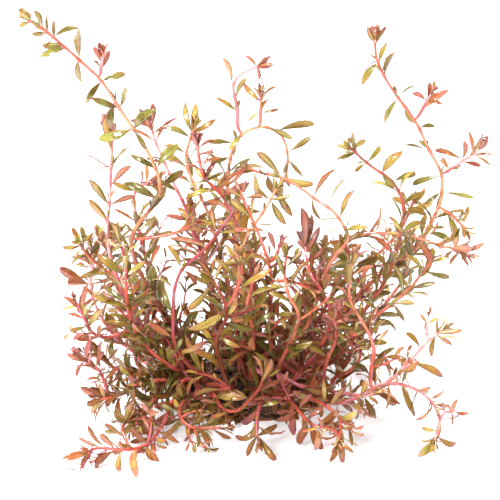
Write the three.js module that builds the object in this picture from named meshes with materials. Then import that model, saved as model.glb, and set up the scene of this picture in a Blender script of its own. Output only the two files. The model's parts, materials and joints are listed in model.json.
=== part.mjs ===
// A bushy clump of a red and olive aquarium stem plant, lifted out of the water: leafy shoots that grow
// out of one tangled root mat. Millimetres, +Z up, +X to the right and +Y away from the viewer. The
// origin is the middle of the mat's flat underside, on which the clump stands.
import * as THREE from 'three';

// Root mat: half its length, half its depth, its height, how deep its lumps go as a share of these, and the
// points round it and the rings up it that shape it.
const MAT_HALF_LENGTH = 28;
const MAT_HALF_DEPTH = 23;
const MAT_HEIGHT = 15;
const MAT_LUMPS = 0.035;
const MAT_TURNS = 16;
const MAT_RINGS = 5;

// The routes give each point as seen from the front: millimetres across, millimetres up in the plane that
// faces the viewer, and depth, which is the real Y. The viewer looks down at the clump by this angle, from
// this far, at a point this far up.
const VIEW_DOWN = THREE.MathUtils.degToRad(20);
const VIEW_DISTANCE = 650;
const VIEW_UP = 55.9;

// Stems: radius from the axis to a corner of the four-sided tube, at the base and at the tip, a side shoot's
// share of it, the length of the pointed end, the steps that a stem is drawn and trimmed by, and the farthest
// that its base is trimmed back.
const STEM_RADIUS = 1.15;
const TIP_RADIUS = 0.6;
const SIDE_SHOOT_SHARE = 0.85;
const TIP_LENGTH = 1.4;
const STEP = 2;
const FINE_STEP = 0.1;
const FARTHEST_TRIM = 20;

// A stem sways to the front and back of its route by this much, in this many waves and up to that many more,
// and less where it ends below a certain height.
const SWAY = 11;
const LEAST_WAVES = 0.5;
const MORE_WAVES = 0.6;
const SWAY_FULL_HEIGHT = 50;

// A direction counts as being along an axis, so that another axis is used to turn from it, above this cosine.
const ALONG_AXIS = 0.8;

// Leaves: length, the most that one read from the front may be long, width as a share of length, the widest
// and narrowest blade, where along the leaf its widest point is, how far it arches, and the most that its
// blade rolls towards the viewer.
const LEAF_LENGTH = 12.5;
const LONGEST_LEAF = 15;
const LEAF_SHARE = 0.265;
const LEAF_WIDEST = 3.8;
const LEAF_NARROWEST = 1.7;
const WIDEST_AT = 0.45;
const ARCH = 0.035;
const MOST_ROLL = THREE.MathUtils.degToRad(50);

// A pair's leaves rise by this angle, give or take, lean up by this much, and roll by up to this share of the
// most. A leaf leans away from its stem by no less than this cosine, and one that is read from the front
// points to the front or back by up to this share of its length.
const LEAF_RISE = THREE.MathUtils.degToRad(38);
const RISE_SPREAD = 0.4;
const UP_LEAN = 0.15;
const PAIR_ROLL = 0.3;
const LEAST_LEAN = 0.34;
const DEPTH_LEAN = 1.1;

// Pairs of leaves: the usual spacing, its least and its spread as shares, how long their leaves are as a
// share of the usual length, and how long those are that are close to the tip.
const INTERNODE = 22.5;
const LEAST_SPACING = 0.75;
const SPACING_SPREAD = 0.4;
const LEAST_LENGTH = 0.85;
const LENGTH_SPREAD = 0.35;
const NEAR_TIP = 8;
const NEAR_TIP_LENGTH = 0.65;

// The last two pairs of a leafy tip: how far each is from the tip, the length of its leaves as a share of the
// usual one, how steeply they rise, and how far they roll.
const TIP_PAIRS = [
  { back: 1.9, share: 0.5 },
  { back: 4.6, share: 0.65 },
];
const TIP_RISE = 1.3;
const TIP_ROLL = 0.2;

// Nodes, which the leaves grow from: half the height of one, the least room between two, how close a leaf is
// to a node that it shares, the least that a face has to look its way, the bare ends of the stem, and how far
// from its base the first pair may be. A node may be closer than NODE_GAP by the share NODE_SLACK.
const NODE_HALF = 0.7;
const NODE_GAP = 2.3;
const NODE_SLACK = 0.05;
const NODE_SHARED = 4.8;
const FACES_IT = 0.4;
const BARE_BASE = 1.5;
const BARE_TIP = 1.1;
const FIRST_PAIR = 2.5;

// Rings of the stem: the least room between two, and the most that the stem bends, or runs on, from one to
// the next.
const RING_GAP = 2.6;
const MOST_BEND = 0.5;
const LONGEST_BAND = 16;

// Room kept free round each leaf as balls a step apart, past the joined share of its length, and round each
// stem. The balls are kept in a grid of cells of this size, of this many a side.
const BALL_STEP = 0.7;
const BALL = 0.5;
const JOINED_SHARE = 0.3;
const STEM_MARGIN = 0.2;
const LEAF_CELL = 2.2;
const CELLS = 1000;

// A leaf with no room is tried shorter, turned round its stem and lifted, by these shares and degrees.
const SHORTER = [1, 0.85, 0.7, 0.55];
const TURNS = [0, 14, -14, 28, -28, 42, -42];
const LIFTS = [0, 16, -16, 30];

// Stems that would touch are moved apart: the room between two, the size of the cells that they are looked
// for in, the rounds that it takes, and the points at each joint that aren't counted, that a move is eased
// over on both sides, and that follow the stem that a side shoot grows from. Points closer than CLOSEST have
// no direction of their own. Between two points a stem can come nearer by STEP_SLACK of a step.
const STEM_ROOM = 0.6;
const STEM_CELL = 3.5;
const SPREAD_ROUNDS = 120;
const JOINT_POINTS = 3;
const EASED_POINTS = 4;
const PULL_POINTS = 8;
const CLOSEST = 0.2;
const STEP_SLACK = 0.4;

// The parts that a stem's curve is cut into to find lengths along it, and the step of its axis points.
const CURVE_PARTS = 400;
const AXIS_STEP = 0.3;

// The gap where a stem meets the mat or the stem that it branches from, and the least height of a stem, of a
// leaf and of a leaf's tip above the surface.
const JOIN_GAP = 0.3;
const STEM_FLOOR = 0.6;
const LEAF_FLOOR = 0.8;
const LEAF_TIP_FLOOR = 1.5;

// Numbers that turn a name into a row of even, repeatable ones.
const FIRST_STATE = 7;
const LETTER_FACTOR = 31;
const STATE_FACTOR = 48271;
const LARGEST_STATE = 2147483647;

// Colours of the shoots and of the mat, and how rough each surface is.
const SHOOT_ROUGHNESS = 0.45;
const MAT_ROUGHNESS = 0.9;
const SALMON = 0xc96a50;
const CORAL = 0xc0503f;
const OLIVE = 0x77702f;
const OLIVE_BROWN = 0x7d5a33;
const YELLOW_OLIVE = 0x9a8a3a;
const PINK = 0xb4566a;
const PURPLE = 0x7c4553;
const ROOT_BROWN = 0x33211a;

// Each shoot runs from its base to its tip: route points [across, up, depth], then the leaves that can be
// told apart from the front, [across, up] where the leaf leaves the stem and [across, up] of its tip, with
// a last 1 for one seen nearly edge on. fill gives the stretch of the shoot, in shares of its length, where
// pairs of leaves follow the usual spacing. from names the shoot that a side shoot branches from.
const SHOOTS = [
  {
    name: 'tall_stem_left',
    colour: SALMON,
    fill: [0.1, 0.5],
    route: [
      [-18, 10, -2], [-28, 26, -8], [-38, 43, -12], [-44, 59, -14], [-40, 67, -14], [-36, 72, -14],
      [-33, 77, -14], [-34.5, 85, -14], [-39, 94, -14], [-43, 100.5, -14], [-48.5, 108.5, -15],
      [-55, 118.5, -16], [-63, 126, -17], [-72, 134, -18], [-77, 138, -18], [-83, 141.5, -19],
    ],
    leaves: [
      [-81, 140.3, -86, 143.8], [-80.5, 139.8, -85.5, 139.6], [-79, 139.2, -80, 144.5],
      [-76, 135, -80.5, 137.5], [-76, 138.5, -77, 142.5, 1], [-71.5, 135, -72.5, 140.5],
      [-68, 132, -63.5, 138], [-68.5, 130.5, -77, 132], [-68, 128.5, -77.5, 127.5],
      [-63, 126.5, -63.5, 137.5], [-63, 125.5, -62.5, 119], [-54, 119.5, -46.5, 121],
      [-56.5, 118, -60.5, 110.5], [-48, 109, -49, 116.5], [-49, 108.5, -58.5, 112.5],
      [-50, 108, -48.5, 101], [-43, 101, -55.5, 97], [-42.5, 101.5, -38.5, 93.5],
      [-44, 102.5, -36.5, 107.5], [-34.5, 86, -42, 93], [-35, 88, -27, 95], [-33, 80, -25, 85],
      [-34, 75, -46, 81],
    ],
  },
  {
    name: 'side_shoot_far_left_top',
    from: 'tall_stem_left',
    colour: PURPLE,
    fill: [0.5, 0.5],
    route: [[-54.5, 118.8, -16], [-54.8, 123, -18], [-54.3, 127.5, -20]],
    leaves: [[-54.6, 125, -58, 131, 1], [-54.4, 126, -52.5, 132.5]],
  },
  {
    name: 'upright_stem_left',
    colour: PINK,
    fill: [0.08, 0.4],
    route: [
      [-20, 8, -12], [-34, 20, -20], [-44, 34, -24], [-50.5, 50, -26], [-53, 62, -26], [-52.3, 70, -25],
      [-51.6, 82, -24], [-51.2, 92, -23], [-51, 98, -22],
    ],
    leaves: [
      [-51, 97, -55.5, 103.5], [-51.5, 95, -54.5, 99, 1], [-50.8, 98, -54.5, 109],
      [-51.5, 86, -60.5, 91.5, 1], [-51, 86, -45, 94, 1], [-51.5, 80, -44.5, 87],
      [-52.5, 73, -59.5, 82], [-52, 73, -43.5, 76], [-53, 66.5, -59.5, 74.5], [-53, 66, -53.5, 56.5],
      [-52.3, 68, -47, 63],
    ],
  },
  {
    name: 'pink_stem_left_centre',
    colour: PURPLE,
    fill: [0.1, 0.42],
    route: [
      [-8, 14, 8], [-12, 33, 12], [-18, 55, 14], [-21.5, 64, 14], [-24, 72, 14], [-27.5, 79, 13],
      [-31.5, 88, 12], [-35, 96, 11], [-37, 104, 10],
    ],
    leaves: [
      [-36.5, 102, -36, 110], [-36.5, 103, -40, 109, 1], [-35.5, 98, -43, 100],
      [-34, 95, -30.5, 101.5], [-31.5, 88, -24.5, 88.5, 1], [-31, 86, -38, 90], [-30, 84, -23.5, 82.5],
      [-27, 78, -34, 82], [-25, 74, -17, 78], [-22.5, 67, -31, 69], [-21.5, 64, -13, 66],
    ],
  },
  {
    name: 'olive_stem_centre',
    colour: YELLOW_OLIVE,
    fill: [0.08, 0.55],
    route: [
      [-3, 14, 14], [-7, 38, 20], [-12, 58, 23], [-16, 71, 23], [-18.5, 76, 22], [-21.5, 82, 21],
      [-23.8, 90, 20], [-22, 97, 19], [-20.5, 101.5, 18],
    ],
    leaves: [
      [-21, 100, -23.5, 110.5], [-20.5, 101, -17, 110], [-20.8, 100.5, -13, 104.5],
      [-23.5, 94, -32, 101], [-23.7, 92, -31.5, 94.5], [-23.8, 90, -22, 82], [-21, 81, -29, 85],
      [-19, 77, -13, 83],
    ],
  },
  {
    name: 'purple_shoot_centre',
    colour: PURPLE,
    fill: [0.1, 0.62],
    route: [
      [2, 14, -2], [3, 34, -3], [0, 50, -4], [-5, 65, -5], [-9, 74, -6], [-13, 79, -6], [-16.5, 82, -6],
      [-18.5, 88, -7], [-19.5, 95, -7],
    ],
    leaves: [
      [-19.5, 94, -20.5, 101, 1], [-19, 92, -14, 97], [-18.5, 88, -24, 91, 1], [-17.5, 86, -11, 90],
      [-16.5, 82, -22, 80], [-12, 79, -1.5, 86.5], [-10, 76, -1, 80.5], [-9, 74, -17, 73],
      [-18.8, 89, -13.5, 92], [-16, 82, -10.3, 84.5], [-14.5, 80.5, -18.5, 78], [-12, 78, -9, 83.5],
      [-17, 84.5, -12.5, 88.5], [-17.5, 86.5, -15, 91.5],
    ],
  },
  {
    name: 'arch_stem',
    colour: SALMON,
    fill: [0.1, 0.6],
    route: [
      [6, 14, 14], [1, 38, 16], [-4, 55, 15], [-8, 70, 13], [-8.2, 82, 12], [-7, 91, 11], [-4.5, 97, 10],
      [-1, 100, 9], [4, 101.6, 8], [9, 100.3, 7], [12.5, 97, 6], [14, 90, 5], [13.5, 84, 4],
    ],
    leaves: [
      [-4, 99, -10.5, 94.5], [-5.5, 95, -14.5, 95.5, 1], [6, 101.3, 16, 97], [10, 99.5, 24.5, 102.5],
      [13.5, 92, 22, 97.5], [14, 91, 18.5, 83], [-7.5, 90, -14.5, 88], [-8, 85, 0, 90],
      [-8, 80, -16, 84],
    ],
  },
  {
    name: 'upright_branch_centre',
    from: 'arch_stem',
    colour: SALMON,
    fill: [0.5, 0.5],
    route: [
      [-4.2, 97.5, 10], [-4, 102, 9], [-4.5, 107, 9], [-5.5, 112, 9], [-6.3, 117, 9], [-4.5, 120.3, 9],
      [-1, 122.2, 9], [3.5, 124, 9],
    ],
    leaves: [
      [-6.3, 118, -9.5, 127], [-5.5, 113, -2, 119.5], [-4.7, 107.5, -12, 112.5],
      [-4, 106, -0.8, 107.5, 1], [2.5, 123.5, 9, 125.5], [1.5, 123.2, 3, 118.5], [-2, 121.8, -1.5, 127.5],
    ],
  },
  {
    name: 'small_shoot_on_arch',
    from: 'arch_stem',
    colour: OLIVE_BROWN,
    fill: [0.5, 0.5],
    route: [[3, 101.4, 8], [3.4, 106, 7], [3.8, 112.5, 7]],
    leaves: [
      [3.7, 111, -2, 118], [3.8, 111.5, 9.5, 116.5, 1], [3.6, 109, 0, 103], [3.5, 108, 10, 108],
    ],
  },
  {
    name: 'long_diagonal_stem',
    colour: SALMON,
    fill: [0.06, 0.52],
    route: [
      [4, 16, -14], [11, 19.5, -20], [16, 22.5, -22], [20, 26, -22], [23.5, 32, -22], [26, 42, -20],
      [31, 53.5, -18], [36.5, 59.5, -17], [34, 66, -17], [30, 71, -17], [25, 74, -17], [19, 79, -17],
      [14, 81.5, -17], [9, 83.6, -17], [4, 84.3, -17], [0, 86, -17],
    ],
    leaves: [
      [12, 83, 2.5, 92], [15, 82, 23.5, 80], [9, 83, 13, 77], [13, 79.5, 18.5, 73.5],
      [24.5, 77, 31, 86], [26, 75, 28.5, 68, 1], [29, 73, 34.5, 82, 1], [34, 68, 38.5, 78],
      [2, 85, -5, 83], [4, 84.3, 3, 75.5], [7, 84, 10, 76], [35.3, 63.5, 43.2, 64.3],
      [33, 67.5, 24.5, 66.3, 1], [35.5, 61.5, 26, 61.5, 1],
    ],
  },
  {
    name: 'pale_stem_centre',
    colour: YELLOW_OLIVE,
    fill: [0.08, 0.7],
    route: [
      [-4, 14, -10], [-5, 32, -16], [-4, 48, -20], [-1, 61, -22], [3, 67, -22], [7, 73.5, -22],
      [9.5, 78, -21],
    ],
    leaves: [
      [8, 74.5, 13, 65.5], [9, 77, 14.5, 76], [5, 70, -3, 71], [9.3, 77.6, 13.8, 70], [7, 73.5, 3.5, 78.5],
    ],
  },
  {
    name: 'purple_bud_stem',
    colour: PURPLE,
    fill: [0.1, 0.62],
    route: [
      [16, 8, -18], [26, 20, -25], [30, 31, -28], [28, 38.5, -29], [24.5, 43.5, -29], [22, 47.5, -29],
      [20.9, 53, -29], [20.3, 59, -28],
    ],
    leaves: [
      [20.5, 57, 22.5, 69], [20.3, 58, 25.5, 64.5], [20.4, 58.5, 19, 75, 1], [21.5, 51, 27.5, 57.5],
      [22, 48, 15, 53],
    ],
  },
  {
    name: 'centre_stem',
    colour: CORAL,
    fill: [0.32, 0.9],
    route: [
      [22, 6.5, -5], [16, 11.8, -15], [10, 16.8, -23], [7.4, 24, -28], [7.8, 36, -29], [7.4, 49, -30],
      [5.3, 56, -30], [2.5, 63.5, -30], [-1, 71, -29], [-3.2, 77, -28],
    ],
    leaves: [[-2.5, 75, -9, 78], [-1.5, 72, 5, 75], [2.5, 63.5, -6, 64]],
  },
  {
    name: 'centre_bud',
    from: 'centre_stem',
    colour: PURPLE,
    fill: [0.5, 0.5],
    route: [[7.1, 50, -30], [9.5, 53.5, -32], [11, 57, -33]],
    leaves: [[10, 55, 10.5, 63.5]],
  },
  {
    name: 'bright_red_side_shoot',
    from: 'centre_stem',
    colour: CORAL,
    fill: [0.3, 1],
    route: [[7.7, 44.5, -30], [12, 45, -32], [17, 44, -34], [23, 41, -36]],
    leaves: [],
  },
  {
    name: 'magenta_stem',
    colour: PINK,
    fill: [0.12, 0.2],
    route: [
      [-12, 6, -22], [-19, 10, -29], [-25, 16, -33], [-28.2, 23, -35], [-28.3, 33, -36], [-28.2, 40, -36],
      [-25, 49, -36], [-20, 53.3, -35], [-16, 57, -34], [-10, 65, -33], [-6, 70, -32],
    ],
    leaves: [
      [-7, 69, -3, 76], [-7.5, 68, -12, 73.5], [-12.5, 62, -14, 72], [-28.3, 31, -30.5, 43],
      [-25, 49, -30, 57.5], [-20, 53.3, -30, 57, 1], [-27.5, 42, -36, 46, 1], [-16, 57, -30, 60],
      [-28.2, 24, -37, 29], [-26, 18, -17, 22], [-27, 45, -20, 43],
      [-11, 64, -4, 62],
    ],
  },
  {
    name: 'centre_left_fork',
    colour: OLIVE_BROWN,
    fill: [0.1, 0.3],
    route: [
      [-9, 8, -24], [-12.5, 22, -34], [-9.5, 29, -37], [-8.7, 34, -38], [-11, 40, -38], [-15, 47, -37],
    ],
    leaves: [
      [-13.5, 44, -23, 34], [-9, 35, -17, 40.5], [-9, 33, -22.5, 26.5], [-9.5, 29, 1, 26.5],
      [-14.5, 46, -10, 53], [-14.7, 46.5, -20, 53], [-11.5, 24, -4, 20],
    ],
  },
  {
    name: 'centre_left_fork_branch',
    from: 'centre_left_fork',
    colour: OLIVE_BROWN,
    fill: [0.35, 1],
    route: [[-8.7, 33.5, -38], [-5.5, 40, -40], [-3, 47, -41], [-3.5, 53, -41]],
    leaves: [],
  },
  {
    name: 'tall_stem_right',
    colour: SALMON,
    fill: [0.08, 0.5],
    route: [
      [12, 12, 10], [26, 22, 16], [38, 36, 18], [47, 46, 18], [55, 51.5, 18], [62.5, 57.5, 18],
      [66.5, 65, 17], [70.3, 71, 16], [71, 78, 15], [71, 83.5, 14], [66, 93.5, 12], [61.5, 103, 10],
      [55, 112, 8], [50, 119.5, 6], [46.8, 127, 5], [46.3, 131, 5], [46.4, 134, 5],
    ],
    leaves: [
      [46.5, 133, 43.5, 138.5], [46.5, 133, 49, 139], [47.2, 125.5, 50.5, 132.5],
      [49.3, 121, 53.5, 129], [48.8, 121.5, 42, 117], [55, 112, 50, 102.5], [54.5, 113, 60, 117, 1],
      [56, 110.5, 61, 102.5], [62.5, 101, 68, 101.5], [70.5, 83.5, 60, 80.5], [71, 77, 82.5, 75, 1],
      [66.5, 92.5, 58, 95, 1], [70.8, 75, 65, 73], [66.2, 64.5, 71.5, 64.5], [65.5, 62, 75, 61.5],
    ],
  },
  {
    name: 'side_shoot_right_top',
    from: 'tall_stem_right',
    colour: CORAL,
    fill: [0.5, 0.5],
    route: [[61.6, 102.8, 10], [63.5, 106.5, 9], [65, 109.5, 8], [66.5, 112.5, 8]],
    leaves: [
      [65.8, 111, 68.5, 118.5], [65.5, 110.5, 71, 117], [64.8, 109, 71, 111.5], [64.5, 108.5, 61, 114],
    ],
  },
  {
    name: 'side_shoot_right_middle',
    from: 'tall_stem_right',
    colour: PINK,
    fill: [0.5, 0.5],
    route: [[71, 83.3, 14], [75, 86, 12], [79.5, 89.3, 11], [83.5, 91.5, 10], [85, 94, 10]],
    leaves: [
      [78, 88.5, 68.5, 93.5], [79, 89, 82, 95.5], [80, 89.5, 85.5, 87.5], [83.5, 91.5, 81, 100],
      [84.5, 93, 87.5, 99, 1], [84, 92, 89.5, 93.5], [83.5, 91.5, 88.5, 87.5], [74, 85.5, 71.5, 91],
    ],
  },
  {
    name: 'branch_right_bright',
    from: 'tall_stem_right',
    colour: YELLOW_OLIVE,
    fill: [0.5, 0.5],
    route: [[70.3, 71, 16], [74, 69, 14], [77, 66.3, 13], [79.3, 63.8, 12]],
    leaves: [
      [79, 64.2, 80.5, 71.8], [78, 65.4, 81.5, 68], [76.5, 67, 79.5, 70.3], [74.5, 68.8, 77.5, 71.5],
      [73.5, 69.2, 79.5, 57.2], [78.5, 64.7, 76, 60.5],
    ],
  },
  {
    name: 'curved_stem_right',
    colour: SALMON,
    fill: [0.08, 0.55],
    route: [
      [20, 10, 0], [34, 22, 2], [44, 36, 3], [52, 48, 3], [55, 60, 2], [57, 70, 1], [56, 75.5, 0],
      [52, 82, -1], [46, 86, -2], [40, 91, -3], [37.5, 93.5, -3],
    ],
    leaves: [
      [38, 93, 37.5, 99.5], [39, 92, 43.5, 96.5], [38, 93, 32, 95], [38.5, 92.5, 32.5, 89.5],
      [43.5, 88.5, 48, 94], [42, 89.5, 39, 85], [49, 84.5, 56.5, 92], [47, 85.5, 54, 79.5, 1],
      [53, 81, 61, 84], [57, 71, 65, 69], [56.5, 73.5, 64, 77],
    ],
  },
  {
    name: 'pink_horizontal_stem',
    colour: PINK,
    fill: [0.08, 0.55],
    route: [
      [8, 14, -8], [16, 28, -12], [24, 43, -13], [32, 55, -12], [38, 60, -11], [44, 62, -10],
      [55, 61.5, -9], [65, 59.5, -9], [70, 57.5, -9], [75, 56.5, -10], [80, 54.5, -10],
    ],
    leaves: [
      [78.5, 55.2, 80.8, 50], [77, 55.6, 86.5, 58.2], [79, 55, 82, 59.5], [75.5, 56.3, 73.8, 50.5],
      [62, 60, 68, 65.5], [66, 59, 70, 47.5], [60, 60.8, 53, 66], [54, 61.7, 60, 54],
      [46, 62, 48, 72, 1], [69, 57.9, 76, 60.5], [73, 56.8, 71.3, 54.5],
    ],
  },
  {
    name: 'orange_stem_right',
    colour: OLIVE_BROWN,
    fill: [0.1, 0.8],
    route: [
      [20, 12, 18], [30, 26, 26], [40, 44, 28], [48, 55, 28], [54, 61, 27], [58, 68, 26], [60.5, 74, 25],
    ],
    leaves: [[59, 71, 65, 69.5], [60, 73, 63.5, 78], [59.5, 72.5, 56.5, 77.5], [46.5, 53.3, 40.2, 47.5]],
  },
  {
    name: 'right_diagonal_stem',
    colour: OLIVE,
    fill: [0.1, 0.55],
    route: [
      [24, 8, -12], [36, 20, -17], [43, 28.5, -20], [50, 34, -21], [58, 40.5, -21], [63, 46.5, -21],
      [67, 52, -20],
    ],
    leaves: [
      [59, 41.5, 68.5, 44], [57, 40, 60, 47], [53, 36.5, 61, 36], [64, 48, 73.5, 46],
      [50, 34, 57, 30], [48, 32.5, 46, 25], [65, 50, 58, 54], [66.5, 51.5, 72, 55], [46, 31, 42, 37],
    ],
  },
  {
    name: 'front_right_stem',
    colour: CORAL,
    fill: [0.1, 0.42],
    route: [
      [2, 12, -22], [8, 11, -27], [17, 6, -33], [26, 2.5, -34], [34, 3, -33], [41, 2, -32], [45, 3.5, -31],
      [49, 6, -30], [56, 11, -29], [62, 18, -28], [68, 24, -27], [71, 26, -26],
    ],
    leaves: [
      [69.5, 25, 78.5, 26], [69.5, 25, 74.5, 21], [68.5, 24, 67.5, 16.5], [66, 22, 69.5, 30, 1],
      [59, 14.5, 50.5, 16], [52, 8.5, 52.5, 17], [60, 15.5, 71.5, 9], [42, 2.2, 47, -6],
      [47, 4.5, 54, -0.5], [49, 6, 43, 12], [63, 19, 58, 25],
    ],
  },
  {
    name: 'thick_red_stem',
    from: 'front_right_stem',
    colour: CORAL,
    fill: [0.45, 1],
    route: [
      [45, 3.5, -31], [44.7, 11, -34], [46, 18, -35], [43.5, 26, -35], [39, 32, -34], [36.5, 39, -33],
      [37.5, 47, -32], [39, 54, -31],
    ],
    leaves: [[44.8, 10, 38, 14], [45.5, 15, 53, 20], [45.5, 20, 39, 23]],
  },
  {
    name: 'trailing_stem_right',
    colour: CORAL,
    fill: [0.12, 0.3],
    route: [
      [22, 3, -24], [33, -1, -40], [42, 2.5, -42], [49, 6.5, -42], [57, 6, -42], [62, 4, -42],
      [67, 0, -43], [70, -5, -44], [70, -10, -47], [68.5, -14, -50],
    ],
    leaves: [
      [68.5, -13.5, 62, -20.5], [69, -13, 67, -22], [69.5, -12, 77.5, -16],
      [56, 6, 57.5, -1.5], [60, 5, 62, -5], [51, 6, 51, -2.5], [68, -1, 73.5, -3.5],
      [65, 1.5, 61.5, -6.5, 1], [70, -8, 64, -10], [53, 6, 58, 12], [66, 1, 72, 4],
    ],
  },
  {
    name: 'runner_front_left',
    colour: CORAL,
    fill: [0.5, 0.5],
    route: [
      [-16, 6, -22], [-23, 4.5, -30], [-28, 1, -34], [-30, -4, -38], [-32.5, -9, -42], [-36, -14, -48],
      [-40, -17, -54.5], [-46, -18, -57], [-52, -17.6, -56], [-57, -17.4, -55], [-60, -18.8, -59],
    ],
    leaves: [
      [-59, -18, -62, -24.5], [-51, -17.7, -60, -21.5], [-56, -17.3, -65, -15.5, 1],
      [-47, -18, -49.5, -26], [-42, -17.5, -43, -27], [-39, -16.5, -34, -22], [-49, -17.9, -55.5, -12.5],
      [-34, -11, -41.5, -13], [-34, -11, -27, -15], [-37, -15, -38, -7], [-29, -1, -36, -3],
      [-30, -4, -23, -6], [-31.5, -7, -39, -8.5], [-36, -14.2, -36.5, -21],
    ],
  },
  {
    name: 'runner_side_shoot',
    from: 'runner_front_left',
    colour: OLIVE_BROWN,
    fill: [0.5, 0.5],
    route: [[-44.2, -17.6, -56.3], [-46.5, -12.5, -51.5], [-47.3, -9.5, -48], [-44, -7, -44]],
    leaves: [
      [-45, -7.8, -40, -6.5], [-47.3, -9.5, -51, -4.5, 1], [-47, -12, -54, -11], [-46, -8.5, -43.5, -1],
    ],
  },
  {
    name: 'left_low_stem',
    colour: CORAL,
    fill: [0.15, 0.5],
    route: [
      [-22, 8, -18], [-32, 8, -25], [-41, 6, -28], [-46, 3, -30], [-52, 1.5, -31], [-56, 0.8, -32],
    ],
    leaves: [
      [-54, 1.2, -64.5, 2.5], [-55, 1, -59.5, -5], [-49, 2, -48, -5.5], [-45, 3.5, -41, -3],
      [-44, 4.5, -48, 11], [-52, 1.5, -50.5, 9.5], [-42, 5.5, -37.5, -0.5], [-38, 7, -46.5, 9.5],
      [-36, 7.5, -40, 13],
    ],
  },
  {
    name: 'pink_cluster_shoot',
    from: 'left_low_stem',
    colour: PINK,
    fill: [0.5, 0.5],
    route: [[-51.5, 1.6, -31], [-53.5, 7, -31], [-55.5, 11.5, -31], [-59.5, 14, -31], [-62, 15.5, -31]],
    leaves: [
      [-61, 15, -68, 17.5], [-60, 14.3, -60, 22.5], [-57, 12.5, -64, 9.5],
      [-54, 8, -60, 8, 1], [-54, 8.5, -49, 13], [-57, 12.5, -55, 18],
    ],
  },
  {
    name: 'left_red_arch',
    colour: CORAL,
    fill: [0.1, 0.4],
    route: [
      [-20, 10, -8], [-30, 17, -14], [-37, 22.5, -17], [-45, 26, -18], [-52, 23.5, -18], [-58, 25, -18],
      [-61.5, 31, -18], [-64, 36, -18],
    ],
    leaves: [
      [-63.5, 35, -69, 39], [-63.8, 35.5, -64, 43], [-62.5, 33, -70, 33, 1], [-60, 28, -66.5, 26],
      [-59.5, 27, -55, 34], [-50, 24, -50.5, 16], [-46, 25.8, -52, 32], [-42, 25, -40, 17],
      [-62, 32, -57, 37],
    ],
  },
  {
    name: 'left_stem_upper',
    colour: OLIVE,
    fill: [0.1, 0.62],
    route: [
      [-16, 12, 4], [-28, 28, 6], [-38, 38, 6], [-45, 44, 5], [-53, 48, 4], [-59.5, 53.5, 3], [-63, 58, 2],
    ],
    leaves: [
      [-62.5, 57.5, -65.5, 64], [-62, 56.5, -69, 57], [-61, 55, -66.5, 51, 1], [-62.5, 57, -58, 62],
      [-58, 52, -56, 60], [-55, 49.5, -63, 46],
    ],
  },
  {
    name: 'pink_vertical_left',
    colour: PINK,
    fill: [0.1, 0.5],
    route: [
      [-22, 6, 8], [-36, 14, 14], [-50, 24, 16], [-57.5, 36, 15], [-59, 43, 14], [-58, 50, 13],
      [-58.5, 57, 12],
    ],
    leaves: [
      [-58.9, 43, -71.5, 51], [-58.5, 39, -67.5, 47.5], [-58.5, 41, -52, 45], [-58, 50, -64, 53],
      [-58.2, 53, -52, 57], [-58.4, 56, -62, 63, 1], [-58.4, 56, -56, 64], [-56, 33, -64, 34],
    ],
  },
  {
    name: 'magenta_shoot_left',
    colour: PINK,
    fill: [0.1, 0.8],
    route: [
      [-12, 14, 14], [-22, 21, 22], [-31, 31, 26], [-36, 45, 27], [-40, 58, 25], [-42, 69, 24], [-43, 76, 23],
      [-40.5, 80, 22], [-36.5, 81, 21],
    ],
    leaves: [[-42, 78, -50.5, 81], [-38, 81, -31, 84.5], [-39, 80.5, -38, 88], [-37, 81, -32, 77, 1]],
  },
  {
    name: 'red_vertical_left',
    colour: OLIVE,
    fill: [0.08, 1],
    route: [
      [-18, 8, -20], [-30, 14, -28], [-40, 22, -31], [-44.5, 32, -31], [-46, 43, -30], [-46, 51, -29],
      [-48.5, 60, -28],
    ],
    leaves: [[-45.5, 38, -54, 43], [-46, 46, -39, 52], [-45, 35, -37, 40], [-46, 48, -55, 54]],
  },
  {
    name: 'orange_branch_left',
    from: 'tall_stem_left',
    colour: SALMON,
    fill: [0.3, 1],
    route: [[-43.8, 60, -14], [-36, 60.8, -15], [-28, 62, -16], [-21, 65.5, -17]],
    leaves: [[-39, 60.5, -35, 68], [-34, 61, -38, 54]],
  },
  {
    name: 'coral_stem_front',
    colour: CORAL,
    fill: [0.5, 0.5],
    route: [
      [-16, 6, -25], [-13, 2, -36], [-10, -3, -43], [-5, -3.8, -46], [0, 0.5, -46], [4, 5.5, -45],
      [5, 11, -44],
    ],
    leaves: [
      [-1, 0, 7, -3], [4.8, 10, 1, 17], [4.5, 8, 11, 12], [-8, -3.5, -14, -6], [-3, -2.5, -6, 4],
      [-11, -1, -18, 0], [4.9, 10.5, 8.5, 18, 1],
    ],
  },
  {
    name: 'pale_front_shoot',
    colour: PURPLE,
    fill: [0.5, 0.5],
    route: [[5, 5, -24], [5, 2, -36], [3, -4, -46], [2.5, -10, -52], [2.8, -14, -55]],
    leaves: [
      [2.7, -13, 1, -22.5], [2.7, -12.5, 9, -23], [2.5, -9, -5, -13], [2.6, -8, 10, -9],
      [3.5, -2, -3, -8], [3.5, -3, 9.5, 2],
    ],
  },
  {
    name: 'front_left_low_shoot',
    colour: OLIVE_BROWN,
    fill: [0.5, 0.5],
    route: [
      [-20, 3, -24], [-25.5, -1, -38], [-26, -6, -43], [-22, -9.6, -46], [-16, -10, -46],
      [-10.5, -10, -45],
    ],
    leaves: [
      [-19, -10, -14.5, -16.5], [-13, -10, -7, -13.5], [-11.5, -10, -4, -8], [-17, -10, -20, -3],
      [-24, -8, -31, -11.5], [-14, -10, -11, -3.5], [-25.8, -4, -19, -2], [-25.8, -5, -33, -1],
    ],
  },
  {
    name: 'front_right_low_shoot',
    colour: PURPLE,
    fill: [0.5, 0.5],
    route: [[10, 3, -24], [16, -1, -38], [20, -6, -45], [24.5, -9.5, -48], [30, -9.5, -47]],
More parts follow.
